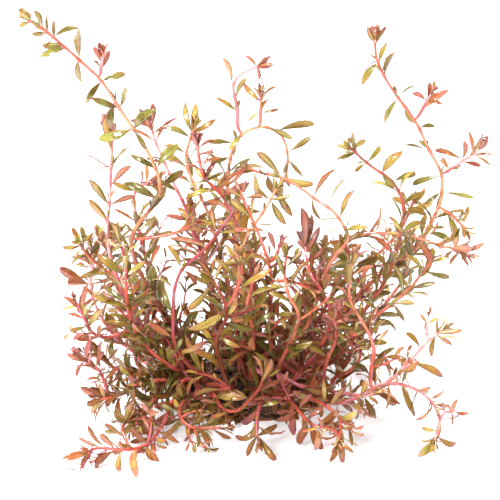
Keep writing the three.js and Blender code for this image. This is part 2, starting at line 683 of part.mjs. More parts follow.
    leaves: [
      [18, -4, 10, -7], [21, -7, 18, -15.5], [24, -9.3, 24, -18], [28.5, -9.6, 35, -13.5],
      [29, -9.6, 33, -3.5], [22, -8, 27, -3], [17.5, -2.5, 23, 2], [26.5, -9.6, 27, -17.5],
    ],
  },
  {
    name: 'front_drop_shoot',
    colour: CORAL,
    fill: [0.5, 0.5],
    route: [[18, 2, -22], [27, 0.5, -37], [32.5, -4.5, -43], [33.6, -9, -48], [32.6, -15, -54]],
    leaves: [
      [32.4, -14.5, 29.5, -22.5], [33, -13, 38, -19], [32.8, -14, 34.5, -22.5], [33.6, -10, 27, -17],
      [33.6, -8, 38.5, -9], [33.4, -6, 27, -9], [31, -1, 37, 3], [30, 0, 27, 7],
    ],
  },
  {
    name: 'front_red_shoot',
    colour: CORAL,
    fill: [0.6, 1],
    route: [
      [22, 5, -4], [25.5, 8, -14], [27.4, 11.3, -23], [28.7, 15.6, -28], [31, 20.6, -31], [31.9, 27, -33],
      [33.7, 32, -33],
    ],
    leaves: [[31.2, 21, 39.5, 28], [29, 16, 22, 20]],
  },
  {
    name: 'low_stem_far_left',
    colour: OLIVE_BROWN,
    fill: [0.1, 1],
    route: [[-24, 9, -4], [-33, 9, -14], [-42, 10.5, -20], [-50, 12, -23], [-55, 16, -24]],
    leaves: [
      [-50, 12, -58, 17.5], [-53, 14, -56.5, 21.5], [-47, 11, -51, 5], [-44, 10.7, -46.5, 18],
      [-54, 15, -49, 19.5],
    ],
  },
  {
    name: 'middle_stem_front',
    colour: OLIVE_BROWN,
    fill: [0.1, 1],
    route: [[0, 14, -20], [1, 26, -32], [-1, 37, -36], [2, 47, -37], [0, 57, -36]],
    leaves: [],
  },
  {
    name: 'middle_stem_front_right',
    colour: OLIVE,
    fill: [0.1, 1],
    route: [[10, 12, -22], [15, 22, -33], [18, 32, -38], [14, 40, -40], [12.8, 47, -40], [13.5, 54, -39]],
    leaves: [[18, 32.5, 10.5, 31.5], [12.9, 49, 18, 56]],
  },
  {
    name: 'low_stem_left',
    colour: OLIVE,
    fill: [0.1, 1],
    route: [[-24, 4, -12], [-30, 3, -24], [-36, 0, -34], [-40, -4, -40], [-43, -9, -45]],
    leaves: [
      [-36.5, -0.5, -43.5, 5], [-34, 1.5, -36.5, 8], [-41, -6, -34.5, -9.5], [-39, -3, -33, -4.5],
    ],
  },
  {
    name: 'middle_stem_right',
    colour: OLIVE,
    fill: [0.1, 1],
    route: [[14, 14, -8], [24, 28, -6], [31, 40, -4], [38, 48, -4], [35, 58, -5]],
    leaves: [],
  },
  {
    name: 'low_stem_right',
    colour: OLIVE_BROWN,
    fill: [0.12, 1],
    route: [[24, 4, -6], [32, 9, -12], [38, 12, -16], [41, 17, -18], [40, 24, -18]],
    leaves: [],
  },
  {
    name: 'back_stem_far_left',
    colour: OLIVE,
    fill: [0.12, 1],
    route: [[-22, 10, 14], [-36, 22, 28], [-46, 36, 34], [-52, 50, 36], [-50, 62, 35]],
    leaves: [],
  },
  {
    name: 'back_stem_left',
    colour: OLIVE_BROWN,
    fill: [0.1, 1],
    route: [[-12, 14, 22], [-14, 30, 38], [-15, 46, 44], [-19, 60, 46], [-21, 72, 45]],
    leaves: [],
  },
  {
    name: 'back_stem_centre',
    colour: OLIVE,
    fill: [0.1, 1],
    route: [[0, 16, 24], [-2, 34, 40], [-6, 52, 47], [-5, 62, 48], [-3, 70, 47]],
    leaves: [],
  },
  {
    name: 'back_stem_right',
    colour: YELLOW_OLIVE,
    fill: [0.1, 1],
    route: [[12, 14, 22], [20, 32, 38], [25, 46, 44], [27, 57, 44]],
    leaves: [],
  },
  {
    name: 'back_stem_far_right',
    colour: OLIVE,
    fill: [0.12, 1],
    route: [[22, 10, 14], [38, 24, 30], [50, 36, 38], [58, 48, 40], [60, 60, 38]],
    leaves: [],
  },
  {
    name: 'back_low_stem_left',
    colour: OLIVE_BROWN,
    fill: [0.15, 1],
    route: [[-16, 8, 18], [-27, 22, 36], [-36, 32, 46], [-42, 43, 52]],
    leaves: [],
  },
  {
    name: 'back_low_stem_right',
    colour: PURPLE,
    fill: [0.15, 1],
    route: [[14, 8, 18], [24, 22, 38], [33, 32, 49], [42, 42, 55]],
    leaves: [],
  },
  {
    name: 'back_low_stem_centre',
    colour: OLIVE,
    fill: [0.15, 1],
    route: [[0, 12, 18], [-3, 27, 40], [1, 38, 52], [-5, 50, 60]],
    leaves: [],
  },
];

const UP = new THREE.Vector3(0, 0, 1);
const ACROSS = new THREE.Vector3(1, 0, 0);
const VIEW_FORWARD = new THREE.Vector3(0, Math.cos(VIEW_DOWN), -Math.sin(VIEW_DOWN));
const VIEW_RISE = new THREE.Vector3(0, Math.sin(VIEW_DOWN), Math.cos(VIEW_DOWN));
const VIEW_AIM = new THREE.Vector3(0, 0, VIEW_UP / Math.cos(VIEW_DOWN));
const VIEW_EYE = VIEW_AIM.clone().addScaledVector(VIEW_FORWARD, -VIEW_DISTANCE);

// The line of sight of what is seen this far across and this far up.
function sight(across, up) {
  const ray = VIEW_FORWARD.clone().multiplyScalar(VIEW_DISTANCE);
  ray.addScaledVector(ACROSS, across);
  return ray.addScaledVector(VIEW_RISE, up - VIEW_UP);
}

// The point of depth y that is seen there.
function place(across, up, y) {
  const ray = sight(across, up);
  return VIEW_EYE.clone().addScaledVector(ray, (y - VIEW_EYE.y) / ray.y);
}

// The point this high above the ground that is seen there.
function placeLow(across, up, height) {
  const ray = sight(across, up);
  return VIEW_EYE.clone().addScaledVector(ray, (height - VIEW_EYE.z) / ray.z);
}

// Where a point is seen: millimetres across and up.
function seen(point) {
  const away = point.clone().sub(VIEW_EYE);
  const scale = VIEW_DISTANCE / away.dot(VIEW_FORWARD);
  return new THREE.Vector2(away.dot(ACROSS) * scale, VIEW_UP + away.dot(VIEW_RISE) * scale);
}

// Numbers from 0 to 1 that are the same in every run, one row of them for each name.
function chance(name) {
  let state = FIRST_STATE;
  for (const letter of name) {
    state = (state * LETTER_FACTOR + letter.charCodeAt(0)) % LARGEST_STATE;
  }
  return () => {
    state = (state * STATE_FACTOR) % LARGEST_STATE;
    return state / LARGEST_STATE;
  };
}

// Whether a point is inside the mat's outer form grown by a gap.
function inMat(point, gap) {
  const x = point.x / (MAT_HALF_LENGTH + gap);
  const y = point.y / (MAT_HALF_DEPTH + gap);
  const z = point.z / (MAT_HEIGHT + gap);
  return x * x + y * y + z * z < 1;
}

// The space that is taken, as small balls kept in a grid of cells.
class Room {
  constructor(cell) {
    this.cell = cell;
    this.cells = new Map();
  }

  key(x, y, z) {
    const half = CELLS / 2;
    return ((x + half) * CELLS + y + half) * CELLS + z + half;
  }

  add(ball) {
    const [x, y, z] = ball.centre.toArray().map((v) => Math.floor(v / this.cell));
    const key = this.key(x, y, z);
    if (!this.cells.has(key)) this.cells.set(key, []);
    this.cells.get(key).push(ball);
  }

  near(centre) {
    const [x, y, z] = centre.toArray().map((v) => Math.floor(v / this.cell));
    const found = [];
    for (let i = -1; i < 2; i += 1) {
      for (let j = -1; j < 2; j += 1) {
        for (let k = -1; k < 2; k += 1) {
          found.push(...(this.cells.get(this.key(x + i, y + j, z + k)) ?? []));
        }
      }
    }
    return found;
  }

  isFree(balls) {
    return balls.every((ball) =>
      this.near(ball.centre).every(
        (other) =>
          (ball.joined && other.shoot === ball.shoot) ||
          ball.centre.distanceTo(other.centre) > ball.radius + other.radius,
      ),
    );
  }
}

// A shoot's line: a smooth curve through its route, as points about STEP apart. The route sways to the front
// and back by a slow wave, and a side shoot's starts at the depth of the stem that it branches from.
function drawLine(shoot) {
  const next = chance(`${shoot.name} sway`);
  const phase = next() * 2 * Math.PI;
  const waves = LEAST_WAVES + MORE_WAVES * next();
  const end = shoot.route.length - 1;
  const [startAcross, startUp, startDepth] = shoot.route[0];
  let shift = 0;
  if (shoot.parent) {
    const spot = new THREE.Vector2(startAcross, startUp);
    const gaps = shoot.parent.points.map((p) => seen(p).distanceTo(spot));
    shoot.joint = gaps.indexOf(Math.min(...gaps));
    shift = shoot.parent.points[shoot.joint].y - startDepth;
  }
  const size = shoot.parent ? 0 : SWAY * Math.min(1, shoot.route[end][1] / SWAY_FULL_HEIGHT);
  const route = shoot.route.map(([across, up, depth], i) => {
    const share = i / end;
    const sway = size * share * Math.sin(phase + waves * 2 * Math.PI * share);
    return place(across, up, depth + shift + sway);
  });
  const curve = new THREE.CatmullRomCurve3(route, false, 'centripetal');
  const points = curve.getSpacedPoints(Math.ceil(curve.getLength() / STEP));
  shoot.points = points;
  const last = points.length - 1;
  shoot.radii = points.map((_, i) => THREE.MathUtils.lerp(shoot.base, TIP_RADIUS, i / last));
}

// The last point of a shoot's line that lies in the mat, or in the stem that a side shoot branches from.
function trimLine(shoot) {
  const isInside = (point, radius) =>
    shoot.parent
      ? shoot.parent.points.some(
          (p, i) => p.distanceTo(point) < shoot.parent.radii[i] + radius + JOIN_GAP,
        )
      : inMat(point, JOIN_GAP);
  let start = 0;
  shoot.points.forEach((p, i) => {
    if (isInside(p, shoot.radii[i])) start = i;
  });
  return start;
}

// Moves the lines of stems that would touch apart, a little in each round, and eases the move along them.
function spreadApart(shoots) {
  for (let round = 0; round < SPREAD_ROUNDS; round += 1) {
    const room = new Room(STEM_CELL);
    shoots.forEach((shoot) => {
      shoot.moves = shoot.points.map(() => new THREE.Vector3());
      shoot.points.forEach((centre, i) => room.add({ centre, shoot, i }));
    });
    let touching = 0;
    shoots.forEach((shoot) =>
      shoot.points.forEach((centre, i) => {
        if (i < shoot.start) return;
        room.near(centre).forEach((other) => {
          if (other.shoot === shoot || other.i < other.shoot.start) return;
          if (other.shoot.parent === shoot && other.i < other.shoot.start + JOINT_POINTS) return;
          if (shoot.parent === other.shoot && i < shoot.start + JOINT_POINTS) return;
          const apart = centre.clone().sub(other.centre);
          const least = shoot.radii[i] + other.shoot.radii[other.i] + STEM_ROOM + STEP * STEP_SLACK;
          const lack = least - apart.length();
          if (lack <= 0) return;
          touching += 1;
          if (apart.length() < CLOSEST) apart.set(0, shoot.order < other.shoot.order ? 1 : -1, 0);
          shoot.moves[i].addScaledVector(apart.normalize(), lack / 2);
        });
      }),
    );
    if (touching === 0) return;
    shoots.forEach((shoot) => {
      const { points, moves } = shoot;
      const eased = points.map((_, i) => {
        const sum = new THREE.Vector3();
        for (let k = -EASED_POINTS; k <= EASED_POINTS; k += 1) {
          const weight = (EASED_POINTS + 1 - Math.abs(k)) / (2 * (EASED_POINTS + 1));
          if (moves[i + k]) sum.addScaledVector(moves[i + k], weight);
        }
        return sum;
      });
      points.forEach((p, i) => {
        if (i > 0) p.add(eased[i]);
        p.z = Math.max(p.z, STEM_FLOOR + shoot.radii[i]);
      });
      if (!shoot.parent) return;
      const pull = shoot.parent.points[shoot.joint].clone().sub(points[0]);
      points.forEach((p, i) => p.addScaledVector(pull, Math.max(0, 1 - i / PULL_POINTS)));
    });
  }
}

// The point, direction and radius of a stem at a length along it.
function stemAt(shoot, along) {
  const u = THREE.MathUtils.clamp((shoot.hidden + along) / (shoot.hidden + shoot.length), 0, 1);
  return {
    along,
    centre: shoot.curve.getPointAt(u),
    tangent: shoot.curve.getTangentAt(u),
    radius: THREE.MathUtils.lerp(shoot.base, TIP_RADIUS, Math.max(along, 0) / shoot.length),
  };
}

// Gives each stem its length, from where its whole end is clear of the mat or of the stem that it grows from.
function measure(shoot) {
  shoot.curve = new THREE.CatmullRomCurve3(shoot.points, false, 'centripetal');
  shoot.curve.arcLengthDivisions = CURVE_PARTS;
  shoot.hidden = 0;
  shoot.length = shoot.curve.getLength();
  const isClear = (point) =>
    shoot.parent
      ? shoot.parent.axis.every((at) => at.centre.distanceTo(point) > at.radius + JOIN_GAP)
      : !inMat(point, JOIN_GAP);
  const end = shoot.start * STEP + FARTHEST_TRIM;
  let hidden = 0;
  for (let along = 0; along < end; along += FINE_STEP) {
    const at = stemAt(shoot, along);
    const upright = Math.abs(at.tangent.z) > ALONG_AXIS;
    at.side = at.tangent.clone().cross(upright ? ACROSS : UP).normalize();
    at.front = at.tangent.clone().cross(at.side);
    at.radius = shoot.base;
    if (!ring(at).every(isClear) || !isClear(at.centre)) hidden = along + FINE_STEP;
  }
  shoot.hidden = hidden;
  shoot.length -= hidden;
  shoot.axis = [];
  for (let along = 0; along <= shoot.length; along += AXIS_STEP) shoot.axis.push(stemAt(shoot, along));
}

// Carries one side direction along the stem, turned as little as possible, so that its faces don't twist.
function carryFrames(shoot) {
  const count = Math.ceil(shoot.length);
  shoot.frames = [];
  let side = new THREE.Vector3(1, 0, 0);
  if (Math.abs(stemAt(shoot, 0).tangent.x) > ALONG_AXIS) side.set(0, 1, 0);
  for (let i = 0; i <= count; i += 1) {
    const { tangent } = stemAt(shoot, (i / count) * shoot.length);
    side = side.clone().addScaledVector(tangent, -side.dot(tangent)).normalize();
    shoot.frames.push(side);
  }
}

function frameAt(shoot, along) {
  const at = stemAt(shoot, along);
  const index = Math.round((along / shoot.length) * (shoot.frames.length - 1));
  const side = shoot.frames[THREE.MathUtils.clamp(index, 0, shoot.frames.length - 1)].clone();
  side.addScaledVector(at.tangent, -side.dot(at.tangent)).normalize();
  at.side = side;
  at.front = at.tangent.clone().cross(side);
  return at;
}

// The outward direction of one of the stem's four faces.
function faceOut(at, face) {
  const angle = (face * Math.PI) / 2;
  return at.side.clone().multiplyScalar(Math.cos(angle)).addScaledVector(at.front, Math.sin(angle));
}

// A leaf's three points past its base: the left and right edge at its widest, and the tip. Its upper side
// turns towards the tip of the stem, and rolls from there towards the viewer by up to MOST_ROLL.
function leafShape(at, face, direction, length, facing) {
  const out = faceOut(at, face);
  const base = at.centre.clone().addScaledVector(out, at.radius * Math.SQRT1_2);
  const dir = direction.clone().normalize();
  const across = (v) => v.clone().addScaledVector(dir, -v.dot(dir)).normalize();
  const top = across(at.tangent);
  const viewed = across(VIEW_FORWARD);
  if (viewed.dot(top) < 0) viewed.negate();
  const turned = Math.sign(top.clone().cross(viewed).dot(dir));
  top.applyAxisAngle(dir, turned * Math.min(top.angleTo(viewed), MOST_ROLL) * facing);
  const right = top.clone().cross(dir);
  const width = THREE.MathUtils.clamp(length * LEAF_SHARE, LEAF_NARROWEST, LEAF_WIDEST);
  const middle = base.clone().addScaledVector(dir, length * WIDEST_AT).addScaledVector(top, length * ARCH);
  return {
    face,
    length,
    base,
    middle,
    right: middle.clone().addScaledVector(right, width / 2),
    left: middle.clone().addScaledVector(right, -width / 2),
    tip: base.clone().addScaledVector(dir, length),
  };
}

// Small balls all over a leaf's blade, which stand for it when room is looked for.
function leafBalls(leaf, shoot) {
  const balls = [];
  const rows = Math.ceil(leaf.length / BALL_STEP);
  const half = leaf.right.distanceTo(leaf.left) / 2;
  for (let i = 1; i <= rows; i += 1) {
    const t = i / rows;
    const out = t < WIDEST_AT;
    const share = out ? t / WIDEST_AT : (1 - t) / (1 - WIDEST_AT);
    const spine = out
      ? leaf.base.clone().lerp(leaf.middle, share)
      : leaf.tip.clone().lerp(leaf.middle, share);
    const reach = half * share;
    const columns = Math.ceil(reach / BALL_STEP);
    const sideways = leaf.right.clone().sub(leaf.left).normalize();
    for (let j = -columns; j <= columns; j += 1) {
      const centre = spine.clone().addScaledVector(sideways, columns ? (reach * j) / columns : 0);
      balls.push({ centre, radius: BALL, shoot, joined: t < JOINED_SHARE });
    }
  }
  return balls;
}

function clearOfGround(balls) {
  return balls.every((ball) => ball.centre.z > LEAF_FLOOR && !inMat(ball.centre, BALL + JOIN_GAP));
}

// Tries a leaf as it was read, then turned, then shorter, and keeps the first that has room.
function growLeaf(shoot, room, at, face, direction, length, facing) {
  const out = faceOut(at, face);
  for (const share of SHORTER) {
    for (const turn of TURNS) {
      for (const lift of LIFTS) {
        const dir = direction.clone().applyAxisAngle(at.tangent, THREE.MathUtils.degToRad(turn));
        const hinge = dir.clone().cross(at.tangent).normalize();
        dir.applyAxisAngle(hinge, THREE.MathUtils.degToRad(lift)).normalize();
        if (dir.dot(out) > LEAST_LEAN) {
          const leaf = leafShape(at, face, dir, length * share, facing);
          const balls = leafBalls(leaf, shoot);
          if (clearOfGround(balls) && room.isFree(balls)) {
            balls.forEach((ball) => room.add(ball));
            return leaf;
          }
        }
      }
    }
  }
  return null;
}

// The node on the stem for a leaf: an earlier one close by with a free face on that side, or a new one.
function findNode(shoot, along, direction) {
  const best = (at, faces) =>
    [0, 1, 2, 3]
      .filter((face) => !faces[face])
      .map((face) => ({ face, score: faceOut(at, face).dot(direction) }))
      .sort((a, b) => b.score - a.score)[0];
  const near = shoot.nodes.filter((node) => Math.abs(node.at.along - along) < NODE_SHARED);
  for (const node of near) {
    const choice = best(node.at, node.faces);
    if (choice && choice.score > FACES_IT) return { node, face: choice.face };
  }
  const shifts = [0, NODE_GAP, -NODE_GAP, 2 * NODE_GAP, -2 * NODE_GAP];
  const end = shoot.length - BARE_TIP;
  for (const shift of shifts) {
    const spot = THREE.MathUtils.clamp(along + shift, BARE_BASE, end);
    if (shoot.nodes.every((node) => Math.abs(node.at.along - spot) >= NODE_GAP * (1 - NODE_SLACK))) {
      const node = { at: frameAt(shoot, spot), faces: [null, null, null, null] };
      shoot.nodes.push(node);
      return { node, face: best(node.at, node.faces).face };
    }
  }
  return null;
}

// The leaves that can be told apart from the front.
function growSeenLeaves(shoot, room) {
  const next = chance(shoot.name);
  const samples = Array.from({ length: Math.ceil(shoot.length) }, (_, i) => frameAt(shoot, i));
  shoot.leaves.forEach(([x, y, tipX, tipY, thin]) => {
    const spot = new THREE.Vector2(x, y);
    const at = samples.reduce((a, b) =>
      seen(a.centre).distanceTo(spot) < seen(b.centre).distanceTo(spot) ? a : b,
    );
    const reach = Math.hypot(tipX - x, tipY - y);
    let tip = place(tipX, tipY, at.centre.y + (next() - 0.5) * reach * DEPTH_LEAN);
    if (tip.z < LEAF_TIP_FLOOR) tip = placeLow(tipX, tipY, LEAF_TIP_FLOOR);
    const direction = tip.clone().sub(at.centre).normalize();
    const found = findNode(shoot, at.along, direction);
    if (!found) return;
    const toTip = tip.clone().sub(found.node.at.centre);
    const { node, face } = found;
    const length = Math.min(toTip.length(), LONGEST_LEAF);
    const leaf = growLeaf(shoot, room, node.at, face, toTip, length, thin ? 0 : 1);
    node.faces[face] = leaf;
  });
}

// Pairs of leaves at the usual spacing, each pair a quarter turn from the last, and smaller at the tip.
function growPairs(shoot, room) {
  const next = chance(`${shoot.name} pairs`);
  const [from, to] = shoot.fill;
  let turn = Math.floor(next() * 2);
  const first = Math.max(from * shoot.length, FIRST_PAIR);
  const last = to * shoot.length;
  const spacing = () => INTERNODE * (LEAST_SPACING + SPACING_SPREAD * next());
  for (let along = first; along < last - 1; along += spacing()) {
    const isNearTip = shoot.length - along < NEAR_TIP;
    const share = isNearTip ? NEAR_TIP_LENGTH : LEAST_LENGTH + LENGTH_SPREAD * next();
    const length = LEAF_LENGTH * share;
    if (shoot.nodes.every((node) => Math.abs(node.at.along - along) > NODE_GAP)) {
      const node = { at: frameAt(shoot, along), faces: [null, null, null, null] };
      shoot.nodes.push(node);
      [turn, turn + 2].forEach((face) => {
        const rise = LEAF_RISE + RISE_SPREAD * (next() - 0.5);
        const direction = faceOut(node.at, face).multiplyScalar(Math.cos(rise));
        direction.addScaledVector(node.at.tangent, Math.sin(rise)).addScaledVector(UP, UP_LEAN);
        const roll = PAIR_ROLL * next();
        node.faces[face] = growLeaf(shoot, room, node.at, face, direction, length, roll);
      });
      turn = 1 - turn;
    }
  }
  if (to === 1) {
    TIP_PAIRS.forEach(({ back, share }) => {
      const node = { at: frameAt(shoot, shoot.length - back), faces: [null, null, null, null] };
      if (shoot.nodes.some((n) => Math.abs(n.at.along - node.at.along) < NODE_GAP)) return;
      shoot.nodes.push(node);
      [turn, turn + 2].forEach((face) => {
        const direction = faceOut(node.at, face).addScaledVector(node.at.tangent, TIP_RISE);
        const length = LEAF_LENGTH * share;
        node.faces[face] = growLeaf(shoot, room, node.at, face, direction, length, TIP_ROLL);
      });
      turn = 1 - turn;
    });
  }
}

// The four corners of the stem at a place along it.
function ring(at) {
  return [-1, 1, 3, 5].map((k) => {
    const angle = (k * Math.PI) / 4;
    return at.centre
      .clone()
      .addScaledVector(at.side, at.radius * Math.cos(angle))
      .addScaledVector(at.front, at.radius * Math.sin(angle));
  });
}

// Where the stem's rings lie: two for each node, one shared by two nodes that are close together, and one
// more wherever the stem bends or runs on bare.
function ringPlaces(shoot) {
  const places = [{ along: 0 }];
  shoot.nodes.sort((a, b) => a.at.along - b.at.along);
  const runOn = (goal) => {
    let from = places[places.length - 1].along;
    for (let along = from + 1; along < goal - RING_GAP; along += 1) {
      const bend = stemAt(shoot, from).tangent.angleTo(stemAt(shoot, along).tangent);
      if (bend > MOST_BEND || along - from > LONGEST_BAND) {
        places.push({ along });
        from = along;
      }
    }
  };
  shoot.nodes.forEach((node, i) => {
    const low = node.at.along - NODE_HALF;
    runOn(low);
    const before = places[places.length - 1];
    if (i > 0 && low - before.along < RING_GAP) {
      before.along = (before.along + low) / 2;
      before.node = node;
    } else {
      places.push({ along: low, node });
    }
    places.push({ along: low + 2 * NODE_HALF });
  });
  runOn(shoot.length);
  if (shoot.length - places[places.length - 1].along > 2 * RING_GAP) places.push({ along: shoot.length });
  return places;
}

// One closed skin: the four-sided stem with a flat base and a pointed tip, and its leaves drawn out of it.
function shootGeometry(shoot) {
  const corners = [];
  const addTriangle = (...points) => points.forEach((p) => corners.push(p.x, p.y, p.z));
  const places = ringPlaces(shoot);
  const rings = places.map(({ along }) => ring(frameAt(shoot, along)));
  const [first] = rings;
  addTriangle(first[0], first[2], first[1]);
  addTriangle(first[0], first[3], first[2]);
  for (let i = 0; i + 1 < rings.length; i += 1) {
    for (let face = 0; face < 4; face += 1) {
      const a = rings[i][face];
      const b = rings[i][(face + 1) % 4];
      const c = rings[i + 1][(face + 1) % 4];
      const d = rings[i + 1][face];
      const leaf = places[i].node?.faces[face];
      if (leaf) {
        const { left, right, tip } = leaf;
        addTriangle(b, c, right);
        addTriangle(c, left, right);
        addTriangle(c, d, left);
        addTriangle(d, a, left);
        addTriangle(right, left, tip);
        addTriangle(left, a, tip);
        addTriangle(a, b, tip);
        addTriangle(b, right, tip);
      } else {
        addTriangle(a, b, c);
        addTriangle(a, c, d);
      }
    }
  }
  const last = rings[rings.length - 1];
  const end = stemAt(shoot, shoot.length);
  const apex = end.centre.clone().addScaledVector(end.tangent, TIP_LENGTH);
  for (let face = 0; face < 4; face += 1) addTriangle(last[face], last[(face + 1) % 4], apex);
  const geometry = new THREE.BufferGeometry();
  geometry.setAttribute('position', new THREE.Float32BufferAttribute(corners, 3));
  return geometry;
}

// The root mat: a low dome with a flat underside, its rings of points pushed in a little to make lumps.
function matGeometry() {
  const next = chance('root mat');
  const rows = [];
  for (let i = 0; i < MAT_RINGS; i += 1) {
    const climb = (i / MAT_RINGS) * (Math.PI / 2);
    const row = [];
    for (let j = 0; j < MAT_TURNS; j += 1) {
      const angle = ((j + (i % 2) / 2) / MAT_TURNS) * 2 * Math.PI;
      const share = 1 - MAT_LUMPS * next();
      row.push(
        new THREE.Vector3(
          MAT_HALF_LENGTH * Math.cos(climb) * Math.cos(angle) * share,
          MAT_HALF_DEPTH * Math.cos(climb) * Math.sin(angle) * share,
          i === 0 ? 0 : MAT_HEIGHT * Math.sin(climb) * share,
        ),
      );
    }
    rows.push(row);
  }
  const corners = [];
  const addTriangle = (...points) => points.forEach((p) => corners.push(p.x, p.y, p.z));
  const bottom = new THREE.Vector3();
  const top = new THREE.Vector3(0, 0, MAT_HEIGHT * (1 - MAT_LUMPS));
  for (let j = 0; j < MAT_TURNS; j += 1) {
    const k = (j + 1) % MAT_TURNS;
    addTriangle(bottom, rows[0][k], rows[0][j]);
    addTriangle(rows[MAT_RINGS - 1][j], rows[MAT_RINGS - 1][k], top);
    for (let i = 0; i + 1 < MAT_RINGS; i += 1) {
      const [low, high] = [rows[i], rows[i + 1]];
      if (i % 2 === 0) {
        addTriangle(low[j], low[k], high[j]);
        addTriangle(low[k], high[k], high[j]);
      } else {
        addTriangle(low[j], low[k], high[k]);
        addTriangle(low[j], high[k], high[j]);
      }
    }
  }
  const geometry = new THREE.BufferGeometry();
  geometry.setAttribute('position', new THREE.Float32BufferAttribute(corners, 3));
  return geometry;
}

function makeMesh(name, geometry, colour, roughness) {
  const material = new THREE.MeshStandardMaterial({ color: colour, roughness, metalness: 0 });
  const mesh = new THREE.Mesh(geometry, material);
  mesh.name = name;
  return mesh;
}

function makeShoots() {
  const byName = new Map(SHOOTS.map((shoot) => [shoot.name, shoot]));
  SHOOTS.forEach((shoot, order) => {
    shoot.order = order;
    shoot.parent = byName.get(shoot.from);
    shoot.base = shoot.parent ? STEM_RADIUS * SIDE_SHOOT_SHARE : STEM_RADIUS;
    shoot.nodes = [];
    drawLine(shoot);
    shoot.start = trimLine(shoot);
  });
  spreadApart(SHOOTS);
  const room = new Room(LEAF_CELL);
  SHOOTS.forEach((shoot) => {
    measure(shoot);
    carryFrames(shoot);
    for (let along = 0; along <= shoot.length + TIP_LENGTH; along += BALL_STEP) {
      const at = stemAt(shoot, along);
      room.add({ centre: at.centre, radius: at.radius + STEM_MARGIN, shoot });
    }
  });
  SHOOTS.forEach((shoot) => growSeenLeaves(shoot, room));
  SHOOTS.forEach((shoot) => growPairs(shoot, room));
}

const clump = new THREE.Group();
makeShoots();
clump.add(makeMesh('root_mat', matGeometry(), ROOT_BROWN, MAT_ROUGHNESS));
SHOOTS.forEach((shoot) => {
  clump.add(makeMesh(shoot.name, shootGeometry(shoot), shoot.colour, SHOOT_ROUGHNESS));
});

export default clump;
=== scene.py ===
"""A clump of a fine-leaved aquarium stem plant: round stems, thin leaves and a root tangle on its solids.

Every shoot's rings and leaf corners are read from its own solid, and a smooth stem and curved leaf blades
are worked out along them. Metres, +Z up, seen from the front along +Y.
"""
import functools
import json
import math
from collections import namedtuple

import bpy
import numpy as np
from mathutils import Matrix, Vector


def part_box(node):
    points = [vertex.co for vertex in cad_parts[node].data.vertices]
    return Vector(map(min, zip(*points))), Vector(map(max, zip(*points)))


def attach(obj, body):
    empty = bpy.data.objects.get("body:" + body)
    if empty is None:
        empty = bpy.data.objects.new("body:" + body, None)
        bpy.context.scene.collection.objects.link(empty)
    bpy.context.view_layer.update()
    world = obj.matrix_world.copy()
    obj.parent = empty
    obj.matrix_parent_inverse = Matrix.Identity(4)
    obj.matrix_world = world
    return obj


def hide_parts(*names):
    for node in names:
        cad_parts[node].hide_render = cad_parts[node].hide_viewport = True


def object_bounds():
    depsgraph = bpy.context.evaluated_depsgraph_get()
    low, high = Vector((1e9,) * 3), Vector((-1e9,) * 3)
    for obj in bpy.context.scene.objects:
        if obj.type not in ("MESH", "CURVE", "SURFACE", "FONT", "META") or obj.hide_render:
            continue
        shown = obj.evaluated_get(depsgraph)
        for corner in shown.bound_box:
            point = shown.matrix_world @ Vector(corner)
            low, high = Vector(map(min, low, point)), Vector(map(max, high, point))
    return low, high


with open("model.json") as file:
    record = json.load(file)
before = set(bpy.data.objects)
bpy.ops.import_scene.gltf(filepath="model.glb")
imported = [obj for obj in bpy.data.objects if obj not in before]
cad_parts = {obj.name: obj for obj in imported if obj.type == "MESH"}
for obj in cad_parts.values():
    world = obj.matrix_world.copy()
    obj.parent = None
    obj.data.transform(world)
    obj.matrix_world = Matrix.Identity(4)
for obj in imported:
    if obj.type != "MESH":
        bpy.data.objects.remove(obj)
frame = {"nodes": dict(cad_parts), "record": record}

bl_info = {
    "name": "Leafy Stem Plant Clump",
    "version": (1, 0, 0),
    "blender": (4, 5, 0),
    "location": "3D View > Sidebar > Stem Plant",
    "description": "Gives the clump its round stems, thin leaves, root tangle and stage",
    "category": "Object",
}

SOLIDS_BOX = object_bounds()
MM = 0.001
UP = np.array([0.0, 0.0, 1.0])

# The slot of each node, and the box that the tips stay in, a little inside that of the solids.
SLOTS = {part["node"]: part["material_slot"] for part in frame["record"]["subparts"]}
INSIDE = np.array(SOLIDS_BOX[0]) + MM, np.array(SOLIDS_BOX[1]) - MM

# The camera of the photograph: how far it looks down, how far away it is, the height that it aims at, and
# the width of what it sees at the middle of the clump.
VIEW_DOWN = math.radians(20)
VIEW_DISTANCE = 650 * MM
VIEW_HEIGHT = 55.9 * MM
VIEW_WIDTH = 185 * MM

